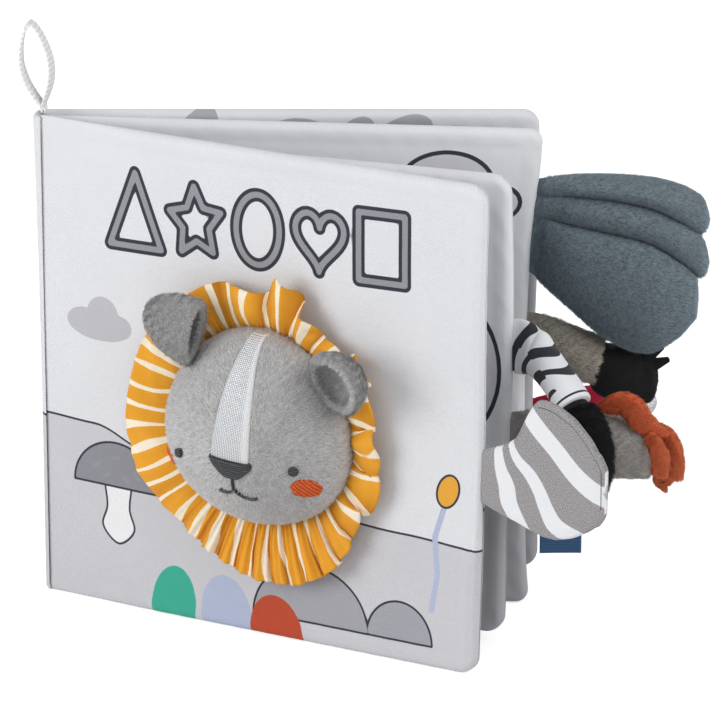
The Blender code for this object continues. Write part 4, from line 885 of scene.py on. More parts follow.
charcoal_stitch = satin_stitch("rayon_satin_stitch_charcoal", "#26292c", "#5d6164")
orange_stitch = satin_stitch("rayon_satin_stitch_orange", "#a83c10", "#f0702c", "DIAGONAL")
knit, tree, shader = blank_material("glitter_knit_silver", 0.5, 0.2)
uv = on_cloth(tree)
courses = wave(tree, uv, "Y", 560.0, 3.0, 2.0, 3.0)
loops = math(tree, "MULTIPLY", wave(tree, uv, "X", 440.0, 0.5), courses)
share = stretched(tree, loops, 0.0, 0.3)
colour = mixed(tree, share, linear("#989da4"), linear("#f4f5f7"))
colour = mixed(tree, attribute(tree, "border"), colour, linear("#e9e9eb"))
finish(tree, shader, colour, share, 0.7, 0.0003)
shine = stretched(tree, noise(tree, uv, 2600.0, 1.0), 0.56, 0.62, 0.0, 0.75)
tree.links.new(shine, shader.inputs["Metallic"])

y = np.linspace(BRIDGE_TOP + 0.0008, NOSE_TOP - 0.0006, 110)[:, None]
across = np.linspace(-1, 1, 40)[None, :]
bridge = face_patch("lion_bridge_knit", bridge_half(y) * across * 1.03, y + 0 * across, 0.0008,
                    knit, "glitter_cloth", "lion_nose_bridge")
border = 0.8 * np.clip((across - 0.55) / 0.2, 0, 1)
border = np.tile(border, (2 * len(y), 1)).ravel()
bridge.data.attributes.new("border", "FLOAT", "POINT").data.foreach_set("value", border)

NOSE_DROP_SHARES = (0, 0.06, 0.2, 0.45, 0.75, 0.92, 1)
NOSE_HALF_SHARES = (0.88, 0.97, 1, 0.86, 0.56, 0.34, 0.16)
drop = np.linspace(0, 1, 34)[:, None]
half = np.interp(drop, NOSE_DROP_SHARES, NOSE_HALF_SHARES) * 0.0087
dip = 0.0007 * (1 - across**2) * (1 - drop)
face_patch("lion_nose_stitch", half * across + NOSE_SKEW * drop, NOSE_TOP - dip - NOSE_TALL * drop, 0.0013,
           charcoal_stitch, "nose_stitch", "lion_nose")

EYE_HALF, EYE_THICK, CHEEK_WIDE, CHEEK_TALL, CHEEK_THICK = 0.0018, 0.0013, 0.0046, 0.0035, 0.0011
shares = np.linspace(-1, 1, 30)
disc_x = shares[None, :] * np.sqrt(1 - 0.5 * shares[:, None] ** 2)
disc_y = shares[:, None] * np.sqrt(1 - 0.5 * shares[None, :] ** 2)
for side in ("left", "right"):
    x, y = EYES[side]
    face_patch(f"lion_eye_{side}_stitch", x + EYE_HALF * disc_x, y + EYE_HALF * disc_y, EYE_THICK,
               charcoal_stitch, "nose_stitch", f"lion_eye_{side}")
    x, y = CHEEKS[side]
    face_patch(f"lion_cheek_{side}_stitch", x + CHEEK_WIDE * disc_x, y + CHEEK_TALL * disc_y, CHEEK_THICK,
               orange_stitch, "cheek_stitch", f"lion_cheek_{side}")

MOUTH_HALF, MOUTH_THICK = 0.00034, 0.0010
for k, line in enumerate(MOUTH):
    route = smooth_route(line, 60)
    ahead = unit(np.gradient(route, axis=0))
    wide = np.linspace(-MOUTH_HALF, MOUTH_HALF, 9)[None, :]
    x, y = route[:, :1] - ahead[:, 1:] * wide, route[:, 1:] + ahead[:, :1] * wide
    stands_for = ["lion_mouth"] if k == 0 else []
    face_patch(f"lion_mouth_stitch_{k + 1}", x, y, MOUTH_THICK, charcoal_stitch, "nose_stitch", *stands_for)


# The ears are cups of the same plush, two layers sewn and turned, whose walls are 2.8 mm thick;
# their colours are a darker copy of the head's, as painted shade. Each is folded at its foot and
# sewn to the side of the head.

EAR_WALL, EAR_LIP, EAR_FOOT, EAR_TUFTS = 0.0028, 0.0012, 0.0180, 13000


def ear_cup(side, up, tall, wide, deep, facing, droop, rings=16, sides=72):
    """Half an ellipsoid, out over its lip and back inside by the wall. It opens towards the
    angle facing, and hangs by the angle droop."""
    f, d = np.radians(facing), np.radians(droop)
    opening = np.array([np.sin(f) * np.cos(d), -np.sin(d), np.cos(f) * np.cos(d)])
    upward = np.array([np.sin(f) * np.sin(d), np.cos(d), np.cos(f) * np.sin(d)])
    sideward = np.array([np.cos(f), 0, -np.sin(f)])
    angle = np.linspace(0, 2 * np.pi, sides, endpoint=False)[None, :, None]
    tilt = np.linspace(np.radians(2), np.pi / 2, rings)[:, None, None]

    def bowl(inset, tilts, ahead=0.0):
        lump = 1 + 0.03 * np.sin(2 * angle + 1) + 0.02 * np.sin(3 * angle)
        ring = ((tall - inset) * np.sin(angle) * upward + (wide - inset) * np.cos(angle) * sideward) * lump
        return ring * np.sin(tilts) + opening * (ahead - (deep - inset) * np.cos(tilts))

    roll = np.linspace(0, np.pi, 9)[1:-1, None, None]
    lip = [bowl(EAR_WALL / 2 * (1 - np.cos(r)), tilt[-1:], EAR_LIP * np.sin(r)) for r in roll]
    cup = np.concatenate([bowl(0, tilt), *lip, bowl(EAR_WALL, tilt[::-1])])
    return on_cover(side + cup[..., 0], up + cup[..., 1], EAR_FOOT + cup[..., 2])


# Painted shade: the same grey plush as the head, with darker root and tip colours.
ear_plush_painted_shade = plush("brushed_polyester_plush_grey_ear_shaded", "#858484", "#e2e1e1")
for side, sizes, seed in (
    ("left", (-0.0236, 0.0331, 0.0130, 0.0064, 0.0212, 86, 8), 21),
    ("right", (0.0350, 0.0266, 0.0124, 0.0120, 0.0104, -18, 20), 23),
):
    cup = ear_cup(*sizes)
    ear = mesh_piece(f"lion_ear_{side}_skin", cup, tube_faces(*cup.shape[:2]), "front_cover")
    dress(ear, ear_plush_painted_shade, "head_plush", f"lion_ear_{side}", fill=0.5)
    spots, up_from, lay = scatter(cup, EAR_TUFTS, seed, grid_normals(cup), np.gradient(cup, axis=0))
    coat = pile(f"lion_ear_{side}_pile", "front_cover", spots, up_from, lay, 0.0017, 0.00016, 0.36, seed + 1)
    dress(coat, ear_plush_painted_shade, "head_plush")


# The mane is a strip of striped cotton poplin, folded in two and gathered round the head. It
# lies smooth on the left, is pleated below, doubles back in loops on the right, and stands in
# tall folds at the top.

# The free edge, in places along and up the cover, round from the left of the top
MANE_EDGE = np.array([
    (67, 129), (83, 135), (96, 133), (102, 135), (105.5, 143), (110, 136), (116, 127), (122, 119),
    (136, 114), (142, 101), (141, 89), (143.5, 81), (142, 61), (136, 53), (132, 42), (126, 32),
    (108, 23.5), (89, 24.5), (75, 30.5), (60, 42), (44, 57), (39, 77), (42, 94), (49, 112), (57, 122),
]) / 1000
MANE_FORM = np.array([
    # angle, folds in a full turn, fold height, sideways loop and rise of the cloth in mm
    (0, 17, 3.4, 4.8, 5.0), (20, 18, 3.2, 4.2, 5.2), (40, 24, 2.6, 1.4, 5.4), (60, 26, 2.8, 0.8, 5.6),
    (80, 24, 5.0, 1.4, 5.8), (100, 15, 3.4, 1.8, 5.6), (120, 12, 2.2, 0.9, 5.2), (140, 10, 1.2, 0.2, 5.0),
    (180, 8, 0.6, 0.0, 5.8), (215, 11, 0.7, 0.0, 7.0), (235, 28, 1.4, 0.3, 5.8), (255, 46, 2.1, 0.7, 4.4),
    (285, 50, 2.5, 1.0, 4.2), (310, 40, 2.7, 1.4, 4.4), (335, 20, 3.2, 4.4, 4.8),
])


def smooth_ring(values, weights):
    """Values round a ring, each the mean of its neighbours by the weights."""
    blurred = np.convolve(np.tile(values, 3), weights / weights.sum(), "same")
    return blurred[len(values) : 2 * len(values), None]


def mane_band(steps=1200, rows=20):
    """A doubled band in (angle, depth): the top layer runs from the gathers to the fold of the
    free edge, the lower one back under it. A fold is a raised cosine of a phase that runs faster
    where the cloth is gathered more. It grows towards the free edge and leans to one side."""
    theta = np.linspace(0, 2 * np.pi, steps, endpoint=False)[:, None]
    degrees = np.degrees(theta[:, 0])
    weights = np.hanning(61)
    folds, fold_high, loop_wide, rise = (
        smooth_ring(np.interp(degrees, MANE_FORM[:, 0], column, period=360), weights)
        for column in MANE_FORM[:, 1:].T
    )
    phase = np.cumsum(folds) * 2 * np.pi / steps
    phase = (phase * np.round(phase[-1] / (2 * np.pi)) / (phase[-1] / (2 * np.pi)))[:, None]
    uneven = 1 + 0.4 * np.sin(23 * theta + 2 * np.sin(9 * theta))
    fold_high, loop_wide, rise = fold_high * uneven / 1000, loop_wide / 1000, rise / 1000

    edge = MANE_EDGE - np.array([HEAD_U, HEAD_Z])
    edge_angle = np.degrees(np.arctan2(edge[:, 1], edge[:, 0]) + HEAD_ROLL) % 360
    order = np.argsort(edge_angle)
    edge_reach = np.interp(degrees, edge_angle[order], np.hypot(*edge.T)[order], period=360)
    edge_reach = smooth_ring(edge_reach, weights[21:40])
    wide = HEAD_WIDE * (1 - EGG_SHARE * np.sin(theta))
    inner = 0.93 * np.hypot(wide * np.cos(theta), HEAD_TALL * np.sin(theta))

    t = np.concatenate([np.linspace(0, 0.97, rows), [1.0, 1.0], np.linspace(0.97, 0, rows)])[None, :]
    top = np.concatenate([np.ones(rows + 1), np.zeros(rows + 1)])[None, :]
    wander = np.sin(3 * theta) + np.sin(7 * theta + 2)
    lean = 0.9 * np.clip(loop_wide / 0.004, 0, 1)
    folded = (0.5 + 0.5 * np.cos(phase + 0.5 * wander * t - lean)) ** 0.75
    grown = t**0.7
    pleat = fold_high * grown * folded
    loop = loop_wide * np.sin(phase) * t**1.5
    gather = 0.00035 * bell(t - 0.12, 0.16) * np.sin(150 * theta + 5 * np.sin(11 * theta))
    small = np.clip((folds - 22) / 20, 0, 1) * np.sin(1.63 * phase + 2.2 * t + wander) ** 2
    crumple = 0.0004 * t * np.sin(31 * theta + 9 * t) * np.sin(17 * theta - 7 * t) + 0.0011 * small * t**0.5
    crumple = crumple + 0.0005 * t * np.sin(13 * theta + 5 * t + 2 * np.sin(5 * theta)) ** 3
    arch = rise * np.sin(np.pi * (0.12 + 0.62 * t)) * 0.9
    height = 0.0008 + arch + pleat + gather + crumple + 0.0011 * top
    reach = inner + (edge_reach - inner) * t - 0.3 * pleat * t + 0.3 * loop_wide * np.cos(phase) * t
    x = reach * np.cos(theta) - loop * np.sin(theta)
    y = reach * np.sin(theta) + loop * np.cos(theta)
    printed = 43 * theta + 0.9 * np.sin(5 * theta) + 0.55 * np.sin(4 * t + 9 * theta)
    printed = printed + 0.5 * np.sin(13 * theta + 2 * t)
    stripe = np.cos(printed) - (0.62 + 0.2 * np.sin(8 * theta + 3 * t) + 0.16 * np.sin(19 * theta + 2 * t))
    # Painted shade: the colour darkens in the valleys between the folds and near the gathered edge, where
    # shade falls.
    painted_fold_shade = (1 - folded) * np.clip(fold_high / 0.0025, 0, 1) * grown
    painted_fold_shade = painted_fold_shade + (0.5 + 0.5 * small) * np.exp(-t / 0.22)
    values = {"stripe": stripe + 0 * t, "painted_fold_shade": painted_fold_shade + 0 * x}
    quads = grid_quads(*x.shape, around=True, closed=True)[:, ::-1]
    uv = spread(0.05 * theta, 0.02 * t)
    return mesh_piece("lion_mane_cloth", on_cover(x, y, height), quads, "front_cover", uv, values)


poplin, tree, shader = blank_material("cotton_poplin_striped", 0.9, 0.15, "#ffe0b0")
at = in_space(tree)
stripe = math(tree, "MULTIPLY_ADD", noise(tree, at, 500.0), 0.22, attribute(tree, "stripe"))
stripe = stretched(tree, stripe, 0.08, 0.16)
# The painted fold shade turns the orange darker in the folds and the gathers.
colour = mixed(tree, attribute(tree, "painted_fold_shade"), linear("#eba42e"), linear("#b26c0e"))
colour = mixed(tree, stripe, colour, linear("#f6ead2"))
relief = math(tree, "MULTIPLY_ADD", noise(tree, at, 240.0, 3.0), 2.2, noise(tree, at, 1800.0))
finish(tree, shader, colour, relief, 0.35, 0.0004)
mane = dress(mane_band(), poplin, "mane_cloth", "lion_mane")


# The leaf tail is flat: two faces of heathered twill with a sheet of film between them, sewn
# round the edge with a dark line of stitches and held in the front cover's seam.

TAIL_SETBACK, TAIL_ROOT = 0.002, -0.0021
LEAF_TAIL_UP, LEAF_TAIL_LONG, LEAF_CORNER = 0.0755, 0.0464, 0.0035
WHITE_HEM, STITCH_HEM, LEAF_STITCH_AT = 0.0460, 0.0472, 0.0022


def seam_point(leaf, up):
    """Where a tail's hinge stands: on the leaf's fore-edge, two millimetres out."""
    return LEAVES[leaf]["width"] + edge_sway(leaf, up) + TAIL_SETBACK


def band(points, halves):
    """The outline of a stripe that follows points and changes its half width, in mm."""
    path = smooth_route(np.column_stack([points, halves]), 25)
    across = unit(np.gradient(path[:, :2], axis=0))[:, ::-1] * np.array([-1, 1]) * path[:, 2:]
    return np.concatenate([path[:, :2] + across, (path[:, :2] - across)[::-1]]) / 1000


LEAF_ALONG = np.array([-2.1, 0, 6.0, 11.1, 16.0, 19.0, 21.8, 26.9, 33.4, 39.5, 43.0, 45.0, 46.4]) / 1000
LEAF_UPPER = np.array([9.5, 10.5, 12.6, 16.2, 26.8, 31.2, 31.6, 30.4, 26.6, 20.2, 15.0, 12.6, 10.8]) / 1000
LEAF_LOWER = -np.array([10.3, 11.4, 13.5, 15.0, 16.9, 17.8, 18.9, 19.2, 17.4, 14.1, 11.5, 10.2, 7.2]) / 1000
leaf_white = areas(
    band([(14, 29), (20.5, 21.5), (27, 15), (34, 7.5), (41, 2.5), (49, -1)],
         [3.0, 3.2, 3.2, 3.4, 3.6, 3.4]),
    band([(8.5, 17), (12, 9.5), (17.3, 4.2), (21, -1.5), (24, -8), (28, -13.5), (37, -17)],
         [0.9, 1.8, 2.4, 2.6, 3.0, 3.4, 3.0]),
    band([(4.2, 14), (5.5, 5), (8, -1.5), (9.2, -8), (13, -14.5), (17, -19)],
         [1.4, 2.4, 3.2, 3.2, 2.6, 1.6]),
)


def leaf_tail_face(side, node_name, twill):
    """One face in (along, across): the outline's upper and lower curves are smoothed, and the
    thickness rises from the seam by a quarter ellipse, with a groove along the stitches."""
    t = np.concatenate([
        np.linspace(TAIL_ROOT, 0.003, 8), np.linspace(0.004, 0.0420, 62), LEAF_TAIL_LONG - RIM_STEPS[7::-1],
    ])
    weights = np.hanning(7)[1:-1] / np.hanning(7).sum()
    corner = LEAF_CORNER - np.sqrt(
        np.clip(LEAF_CORNER**2 - np.clip(t - LEAF_TAIL_LONG + LEAF_CORNER, 0, LEAF_CORNER) ** 2, 0, None)
    )
    upper, lower = (np.convolve(np.pad(np.interp(t, LEAF_ALONG, edge), 2, "edge"), weights, "valid")
                    for edge in (LEAF_UPPER, LEAF_LOWER))
    up = from_edges(lower + corner, upper - corner, 44)
    t, upper, lower = t[:, None], (upper - corner)[:, None], (lower + corner)[:, None]
    inset = np.minimum(np.minimum(up - lower, upper - up), LEAF_TAIL_LONG - t)
    full = 0.0016 + 0.0007 * np.clip(t / 0.006, 0, 1)
    groove = 0.00035 * bell(inset - 0.0024, 0.0005) * (t > 0.004)
    ripple = 0.0003 * np.sin(170 * t + side) * np.sin(110 * up)
    out = full * np.sqrt(np.clip(1 - (1 - np.clip(inset / 0.0022, 0, 1)) ** 2, 0, 1)) - groove
    out = np.maximum(out + ripple * np.clip(inset / 0.004, 0, 1), 0.0002)
    start = seam_point("front_cover", LEAF_TAIL_UP)
    hem = np.full_like(out, THINNEST)
    faces = [place("front_cover", start + t, side * depth, LEAF_TAIL_UP + up) for depth in (out, hem)]
    white = np.minimum(leaf_white(t + 0 * up, up), WHITE_HEM - t)
    to_stitch = np.minimum(upper - up, STITCH_HEM - t) - LEAF_STITCH_AT
    stitch = np.where((t > 0.020) & (up > lower + 0.004), to_stitch, 0.01) + 0 * up
    values = {"white": white, "stitch": stitch}
    name = f"leaf_tail_{node_name}"
    piece = shell_piece(f"{name}_twill", faces, "leaf_tail", spread(t, up), values, turned=side < 0)
    return dress(piece, twill, "leaf_tail_print", name, fill=0.2)


heather, tree, shader = blank_material("polyester_heather_twill_striped", 0.85, 0.15)
uv = on_cloth(tree)
specks = stretched(tree, noise(tree, uv, 2500.0), 0.32, 0.68)
white = stretched(tree, attribute(tree, "white"), -0.0001, 0.0001, 1.0, 0.0)
stitch = stretched(tree, math(tree, "ABSOLUTE", attribute(tree, "stitch")), 0.0001, 0.0003, 0.75, 0.0)
colour = mixed(tree, specks, linear("#777476"), linear("#b4b1b3"))
colour = mixed(tree, white, colour, linear("#e9eaee"))
colour = mixed(tree, stitch, colour, linear("#3a3a3e"))
finish(tree, shader, colour, wave(tree, uv, "DIAGONAL", 444.0, 1.2), 0.35, 0.0002)
leaf_tail_face(-1, "front", heather)
leaf_tail_face(1, "back", heather)


# The stuffed tails are tubes of cloth or plush, flattened at the root where they are caught in
# a leaf's seam. A route gives, in mm from the tail's hinge: along, forward, up, then half the
# tube's height and half its thickness.

FORWARD = np.array([1, -1, 1])
ROOT_BARE, UV_SHARES = 0.0026, np.array([1, 0.009])


def tube(leaf, up, route, steps=60, sides=44, upright=False, tip=0.0, lumps=0.0, slant=0.0, flat=1.0):
    """Oval rings along a smoothed route, square to it or upright. A tip closes its end with
    half an ellipse of that length in mm, lumps swell it by crossed sines, a slant leans its root
    with the leaf's edge, and flat, below one, squares its section."""
    path = smooth_route(np.asarray(route, float), steps) / 1000
    if tip:
        bend = np.linspace(0, np.pi / 2 - 0.1, 10)[1:, None]
        cap = np.repeat(path[-1:], len(bend), 0)
        cap[:, :3] += unit(path[-1:, :3] - path[-3:-2, :3]) * tip / 1000 * np.sin(bend)
        cap[:, 3:] *= np.cos(bend)
        path = np.concatenate([path, cap])
    ahead = unit(np.gradient(path[:, :3], axis=0) * FORWARD)
    if upright:
        ahead = np.tile([1.0, 0, 0], (len(path), 1))
    front = np.array([0, -1.0, 0])
    front = unit(front - (ahead @ front)[:, None] * ahead)
    down = np.cross(ahead, front)
    angle = np.linspace(0, 2 * np.pi, sides, endpoint=False)[None, :, None]
    length = lengths(path[:, :3])
    far = length[:, None, None]
    swell = 1 + lumps * np.sin(300 * far + 3 * angle) * np.sin(2 * angle + 170 * far)
    tall, thick = (power(turn, flat) for turn in (np.sin(angle), np.cos(angle)))
    section = down[:, None] * path[:, None, 3:4] * tall + front[:, None] * path[:, None, 4:] * thick
    rings = path[:, None, :3] * FORWARD + swell * section
    if slant:
        rings[..., 0] += slant * rings[..., 2] * np.clip(1 - rings[..., 0] / path[-1, 0], 0, 1)
    points = place(leaf, seam_point(leaf, up) + rings[..., 0], rings[..., 1], up + rings[..., 2])
    return points, spread(length[:, None], angle[..., 0])


def stuffed(name, body, made, material, slot, node_name, fill=0.8, values=None):
    """A tube as a padded piece that stands for its CAD skin."""
    points, measures = made
    piece = mesh_piece(name, points, tube_faces(*points.shape[:2]), body, measures * UV_SHARES, values)
    return dress(piece, material, slot, node_name, fill=fill)


def furred(name, body, made, material, slot, node_name, tufts, seed, swirl=0.5, bare=ROOT_BARE, fill=0.8):
    """A stuffed tube of plush, and its pile, laid towards its tip. Tufts gives their count,
    length, width and rise. The bare length at the root is in the seam."""
    stuffed(f"{name}_skin", body, made, material, slot, node_name, fill)
    count, length, width, rise = tufts
    points, measures = made
    far = np.broadcast_to(measures[:, :1, 0], points.shape[:2])
    fields = grid_normals(points), np.gradient(points, axis=0), far
    spots, up_from, lay, far = scatter(points, count, seed, *fields)
    out = far > bare
    coat = pile(f"{name}_pile", body, spots[out], up_from[out], lay[out], length, width, rise, seed + 1,
                swirl)
    dress(coat, material, slot)


# The plume on page two is three stuffed fingers of slate plush, one under the other, sewn
# together at the root.

slate = plush("brushed_polyester_plush_slate", "#525e66", "#a3b2bc")
PLUME_ALONG = np.array([-2.1, 0, 4.0, 13.0, 27.5, 41.0, 51.0, 57.0])
PLUME_EDGES = np.array([
    (16.6, 17.2, 17.7, 18.1, 18.3, 17.5, 15.3, 12.7),
    (10.4, 10.7, 10.9, 11.1, 10.2, 7.5, 2.7, -1.2),
    (2.2, 2.0, 1.7, 0.1, -2.5, -5.8, -11.9, -17.2),
    (-18.3, -19.6, -23.0, -30.0, -41.5, -46.2, -40.6, -33.4),
])
PLUME_FORMS = (
    ("upper", (1.0, 1.6, 3.0, 6.2, 7.6, 7.8, 6.8, 4.6), (0, 0, 0, -1, -1, -1, -1, -1), 4.8, 31),
    ("middle", (1.0, 1.6, 3.0, 6.4, 8.0, 8.2, 7.4, 5.4), (0, 0, 0, 0, 0, 0, 0, 0), 5.6, 33),
    ("lower", (1.0, 1.6, 4.2, 7.4, 9.4, 9.6, 7.8, 5.4), (0, 0, 1.6, 3.4, 4.6, 4.9, 4.9, 4.9), 1.0, 35),
)
PLUME_UP, FINGER_GAP, PLUME_SLANT = 0.146, 0.4, 0.08
for k, (finger, thick, forward, tip, seed) in enumerate(PLUME_FORMS):
    high, low = PLUME_EDGES[k] + FINGER_GAP * (k > 0), PLUME_EDGES[k + 1] - FINGER_GAP * (k < 2)
    route = np.column_stack([PLUME_ALONG, forward, (high + low) / 2, (high - low) / 2, thick])
    made = tube("page_two", PLUME_UP, route, 70, 52, upright=True, tip=tip, slant=PLUME_SLANT)
    tufts = (36000 if finger == "lower" else 24000, 0.0017, 0.00016, 0.36)
    furred(f"plume_{finger}", "plume_tail", made, slate, "slate_plush", f"plume_{finger}_finger",
           tufts, seed, 0.25)


# The zebra tail on page one is a thin tube of printed cotton, creased where it bends, with a
# black plush tuft sewn into its end.

ZEBRA_UP = 0.113
ZEBRA_ROUTE = [
    (-2.1, 0, 0, 9.4, 0.8), (0, 0, 0, 10.3, 1.6), (5.2, 0.8, -0.8, 9.6, 4.6), (9.0, 2.8, -2.6, 7.7, 5.7),
    (14.0, 6.1, -5.8, 6.5, 6.4), (20.4, 10.6, -10.6, 6.5, 6.6), (25.3, 14.1, -15.6, 6.9, 6.6),
]
TUFT_ROUTE = [
    (23.6, 13.4, -14.4, 5.0, 4.7), (26.8, 16.3, -19.4, 7.8, 7.0), (29.6, 18.2, -25.9, 9.0, 7.8),
    (30.8, 18.5, -35.1, 9.0, 8.0), (29.6, 18.5, -44.0, 7.8, 7.0), (27.6, 18.5, -49.9, 5.3, 5.0),
]


def zebra_tube():
    """The tube with two creases pressed in, and its stripes: a bent sine of the length, and a
    plain end with one dark ring."""
    points, measures = tube("page_one", ZEBRA_UP, ZEBRA_ROUTE, 110, 90)
    far, angle = measures[..., 0] * 1000, measures[..., 1]
    bend = 0.9 * np.sin(angle - 0.6) + 0.5 * np.sin(2 * angle + 1.3)
    stripe = np.sin(2 * np.pi * (far + 3.4 * bend + 0.6) / 9.6) - 0.38 - 0.4 * np.sin(1.5 * angle + far / 5)
    from_end = far.max() - far
    stripe = np.where(from_end < 6, np.where(np.abs(from_end - 2.4) < 0.35, 0.5, -0.5), stripe)
    crease = bell(far - 9.5 - 1.8 * np.sin(angle), 1.1) + 0.7 * bell(far - 13.5 + 1.2 * np.cos(angle), 1.2)
    crease = crease * (0.5 + 0.5 * np.cos(angle - 4.4)) * 0.0009
    hem = np.clip(from_end / 1.2, 0, 1)
    shrink = crease + 0.0008 * (1 - np.sqrt(hem * (2 - hem)))
    return (points - grid_normals(points) * shrink[..., None], measures), {"stripe": stripe}


cotton, tree, shader = blank_material("cotton_poplin_zebra", 0.9, 0.1)
stripe = stretched(tree, attribute(tree, "stripe"), -0.03, 0.03)
colour = mixed(tree, stripe, linear("#e6e7eb"), linear("#303237"))
finish(tree, shader, colour, noise(tree, on_cloth(tree), 1200.0), 0.3, 0.0003)
made, stripes = zebra_tube()
stuffed("zebra_tail_cloth", "zebra_tail", made, cotton, "zebra_print", "zebra_tail_sleeve", 0.6, stripes)
black = plush("brushed_polyester_plush_black", "#060607", "#1d1e20", 0.9, 0.1)
made = tube("page_one", ZEBRA_UP, TUFT_ROUTE, 50, 44, tip=4.0)
furred("zebra_tail_tuft", "zebra_tail", made, black, "black_plush", "zebra_tail_tuft",
       (22000, 0.0034, 0.00018, 0.5), 41)


# The grey tail on page one is a thick plush tube, with four flat strips of orange plush sewn
# round its end that curl over.

GREY_UP = 0.0785
grey_plush = plush("brushed_polyester_plush_warm_grey", "#98948f", "#e6e1dc")
GREY_ROUTE = [
    (-2.1, 0, 0, 9.0, 0.8), (0, 0, 0, 10.0, 1.6), (10.3, 0, 0, 11.0, 7.5), (24.5, 0, 0.5, 11.3, 9.0),
    (38.2, 0, 1.0, 11.2, 9.2), (48.4, 0, 1.4, 10.6, 8.8),
]
made = tube("page_one", GREY_UP, GREY_ROUTE, 60, 48, tip=1.2)
furred("grey_tail", "grey_tail", made, grey_plush, "grey_plush", "grey_tail_sleeve",
       (24000, 0.0021, 0.00018, 0.36), 51)

orange_plush = plush("brushed_polyester_plush_orange", "#c64c2a", "#ff9062")
STRIPS = {
    "top": [(31.0, 2.0, 14.8, 1.4, 1.0), (35.0, 2.6, 16.6, 2.8, 1.2), (40.0, 3.6, 18.0, 4.0, 1.4),
            (44.5, 5.2, 17.0, 4.6, 1.5), (48.5, 6.4, 13.6, 4.2, 1.4), (52.5, 6.4, 11.2, 3.2, 1.2),
            (56.4, 5.6, 10.0, 1.0, 1.0)],
    "end": [(49.9, 0.5, 6.6, 2.2, 1.4), (53.0, 0.8, 8.8, 2.4, 1.5), (56.8, 1.2, 6.8, 2.6, 1.6),
            (59.2, 1.4, 2.0, 2.5, 1.6), (60.2, 1.2, -3.0, 2.3, 1.5), (59.8, 0.8, -7.8, 2.2, 1.2)],
    "front": [(51.0, 7.6, 9.0, 2.2, 1.1), (54.0, 9.2, 6.4, 2.6, 1.3), (55.8, 9.6, 3.2, 2.9, 1.4),
              (56.2, 9.4, -0.6, 2.9, 1.4), (55.8, 9.0, -4.2, 2.8, 1.2)],
    "back": [(51.4, -3.8, 2.0, 2.2, 1.2), (54.5, -3.8, -5.0, 2.4, 1.3), (55.2, -3.6, -9.6, 2.4, 1.2),
             (52.8, -3.6, -11.2, 2.4, 1.0), (54.4, -3.4, -14.2, 0.6, 0.6)],
}
for k, (strip, route) in enumerate(STRIPS.items()):
    name = f"grey_tail_strip_{strip}"
    made = tube("page_one", GREY_UP, route, 50, 32, tip=0.8, lumps=0.1, flat=0.6)
    furred(name, "grey_tail", made, orange_plush, "orange_plush", name,
           (9000, 0.0014, 0.00015, 0.45), 61 + 2 * k, bare=0, fill=0.3)


# The brown tail on page two is a short plush tube. Its tassel is a black cloth bundle that ends
# in pointed strands.

BROWN_UP = 0.101
brown_plush = plush("brushed_polyester_plush_brown", "#7f7a70", "#dcd5c9")
BROWN_ROUTE = [
    (-2.1, 0, 0, 10.2, 0.8), (0, 0, 0, 11.2, 1.6), (7.6, 0, -1.8, 10.3, 6.0), (15.9, 0, -4.3, 9.3, 8.4),
    (24.0, 0, -6.2, 8.6, 8.6),
]
made = tube("page_two", BROWN_UP, BROWN_ROUTE, 44, 44, tip=1.0)
furred("brown_tail", "brown_tail", made, brown_plush, "brown_plush", "brown_tail_sleeve",
       (14000, 0.0022, 0.00018, 0.4), 71)

velvet = plush("polyester_velvet_black", "#0a0a0c", "#222327", 0.85, 0.1)
TASSEL_ROUTE = [
    (23.5, 0, -6.4, 7.4, 6.8), (27.5, -0.4, -8.8, 9.6, 7.4), (32.2, -2.4, -12.0, 10.8, 7.6),
    (37.8, -3.6, -14.2, 10.4, 6.8), (43.0, -3.6, -14.6, 8.6, 4.8),
]
STRAND_ROUTES = [
    [(33, -2.5, -9.0, 3.6, 1.8), (41.0, -2.2, -5.6, 2.8, 1.4), (47.4, -1.8, -1.2, 1.2, 0.8)],
    [(36, -2.8, -12.0, 3.6, 1.8), (43.5, -2.6, -8.6, 2.8, 1.4), (49.6, -2.2, -6.0, 1.2, 0.8)],
]
made = tube("page_two", BROWN_UP, TASSEL_ROUTE, 44, 60, tip=3.0, lumps=0.06)
furred("brown_tail_tassel", "brown_tail", made, velvet, "black_plush", "brown_tail_tassel",
       (12000, 0.0012, 0.00015, 0.3), 73, fill=0.5)
for k, route in enumerate(STRAND_ROUTES):
    points, measures = tube("page_two", BROWN_UP, route, 24, 16, tip=0.8)
    faces = tube_faces(*points.shape[:2])
    dress(mesh_piece(f"brown_tail_strand_{k + 1}", points, faces, "brown_tail"), velvet, "black_plush")


# The red tail on the back cover is a slim tube of red cotton with one white ring, and its tip
# is silver glitter cloth.

RED_UP, RING_AT, RING_HALF = 0.069, 0.0175, 0.0016
cotton_red, tree, shader = blank_material("cotton_poplin_red", 0.85, 0.15)
uv = on_cloth(tree)
along = node(tree, "ShaderNodeSeparateXYZ", {0: uv}).outputs[0]
weave = noise(tree, uv, 1200.0)
colour = mixed(tree, weave, linear("#b01238"), linear("#d82a4c"))
colour = mixed(tree, math(tree, "COMPARE", along, RING_AT, RING_HALF), colour, linear("#ececef"))
finish(tree, shader, colour, weave, 0.3, 0.0003)
RED_ROUTE = [
    (-2.1, 0, 0, 3.2, 0.8), (0, 0, 0, 3.6, 1.6), (6.3, 0, 1.2, 4.0, 3.4), (15.0, 0, 3.3, 4.2, 4.2),
    (23.0, 0, 3.6, 4.4, 4.4),
]
made = tube("back_cover", RED_UP, RED_ROUTE, 44, 36, tip=0.5)
stuffed("red_tail_cloth", "red_tail", made, cotton_red, "red_cloth", "red_tail_sleeve")

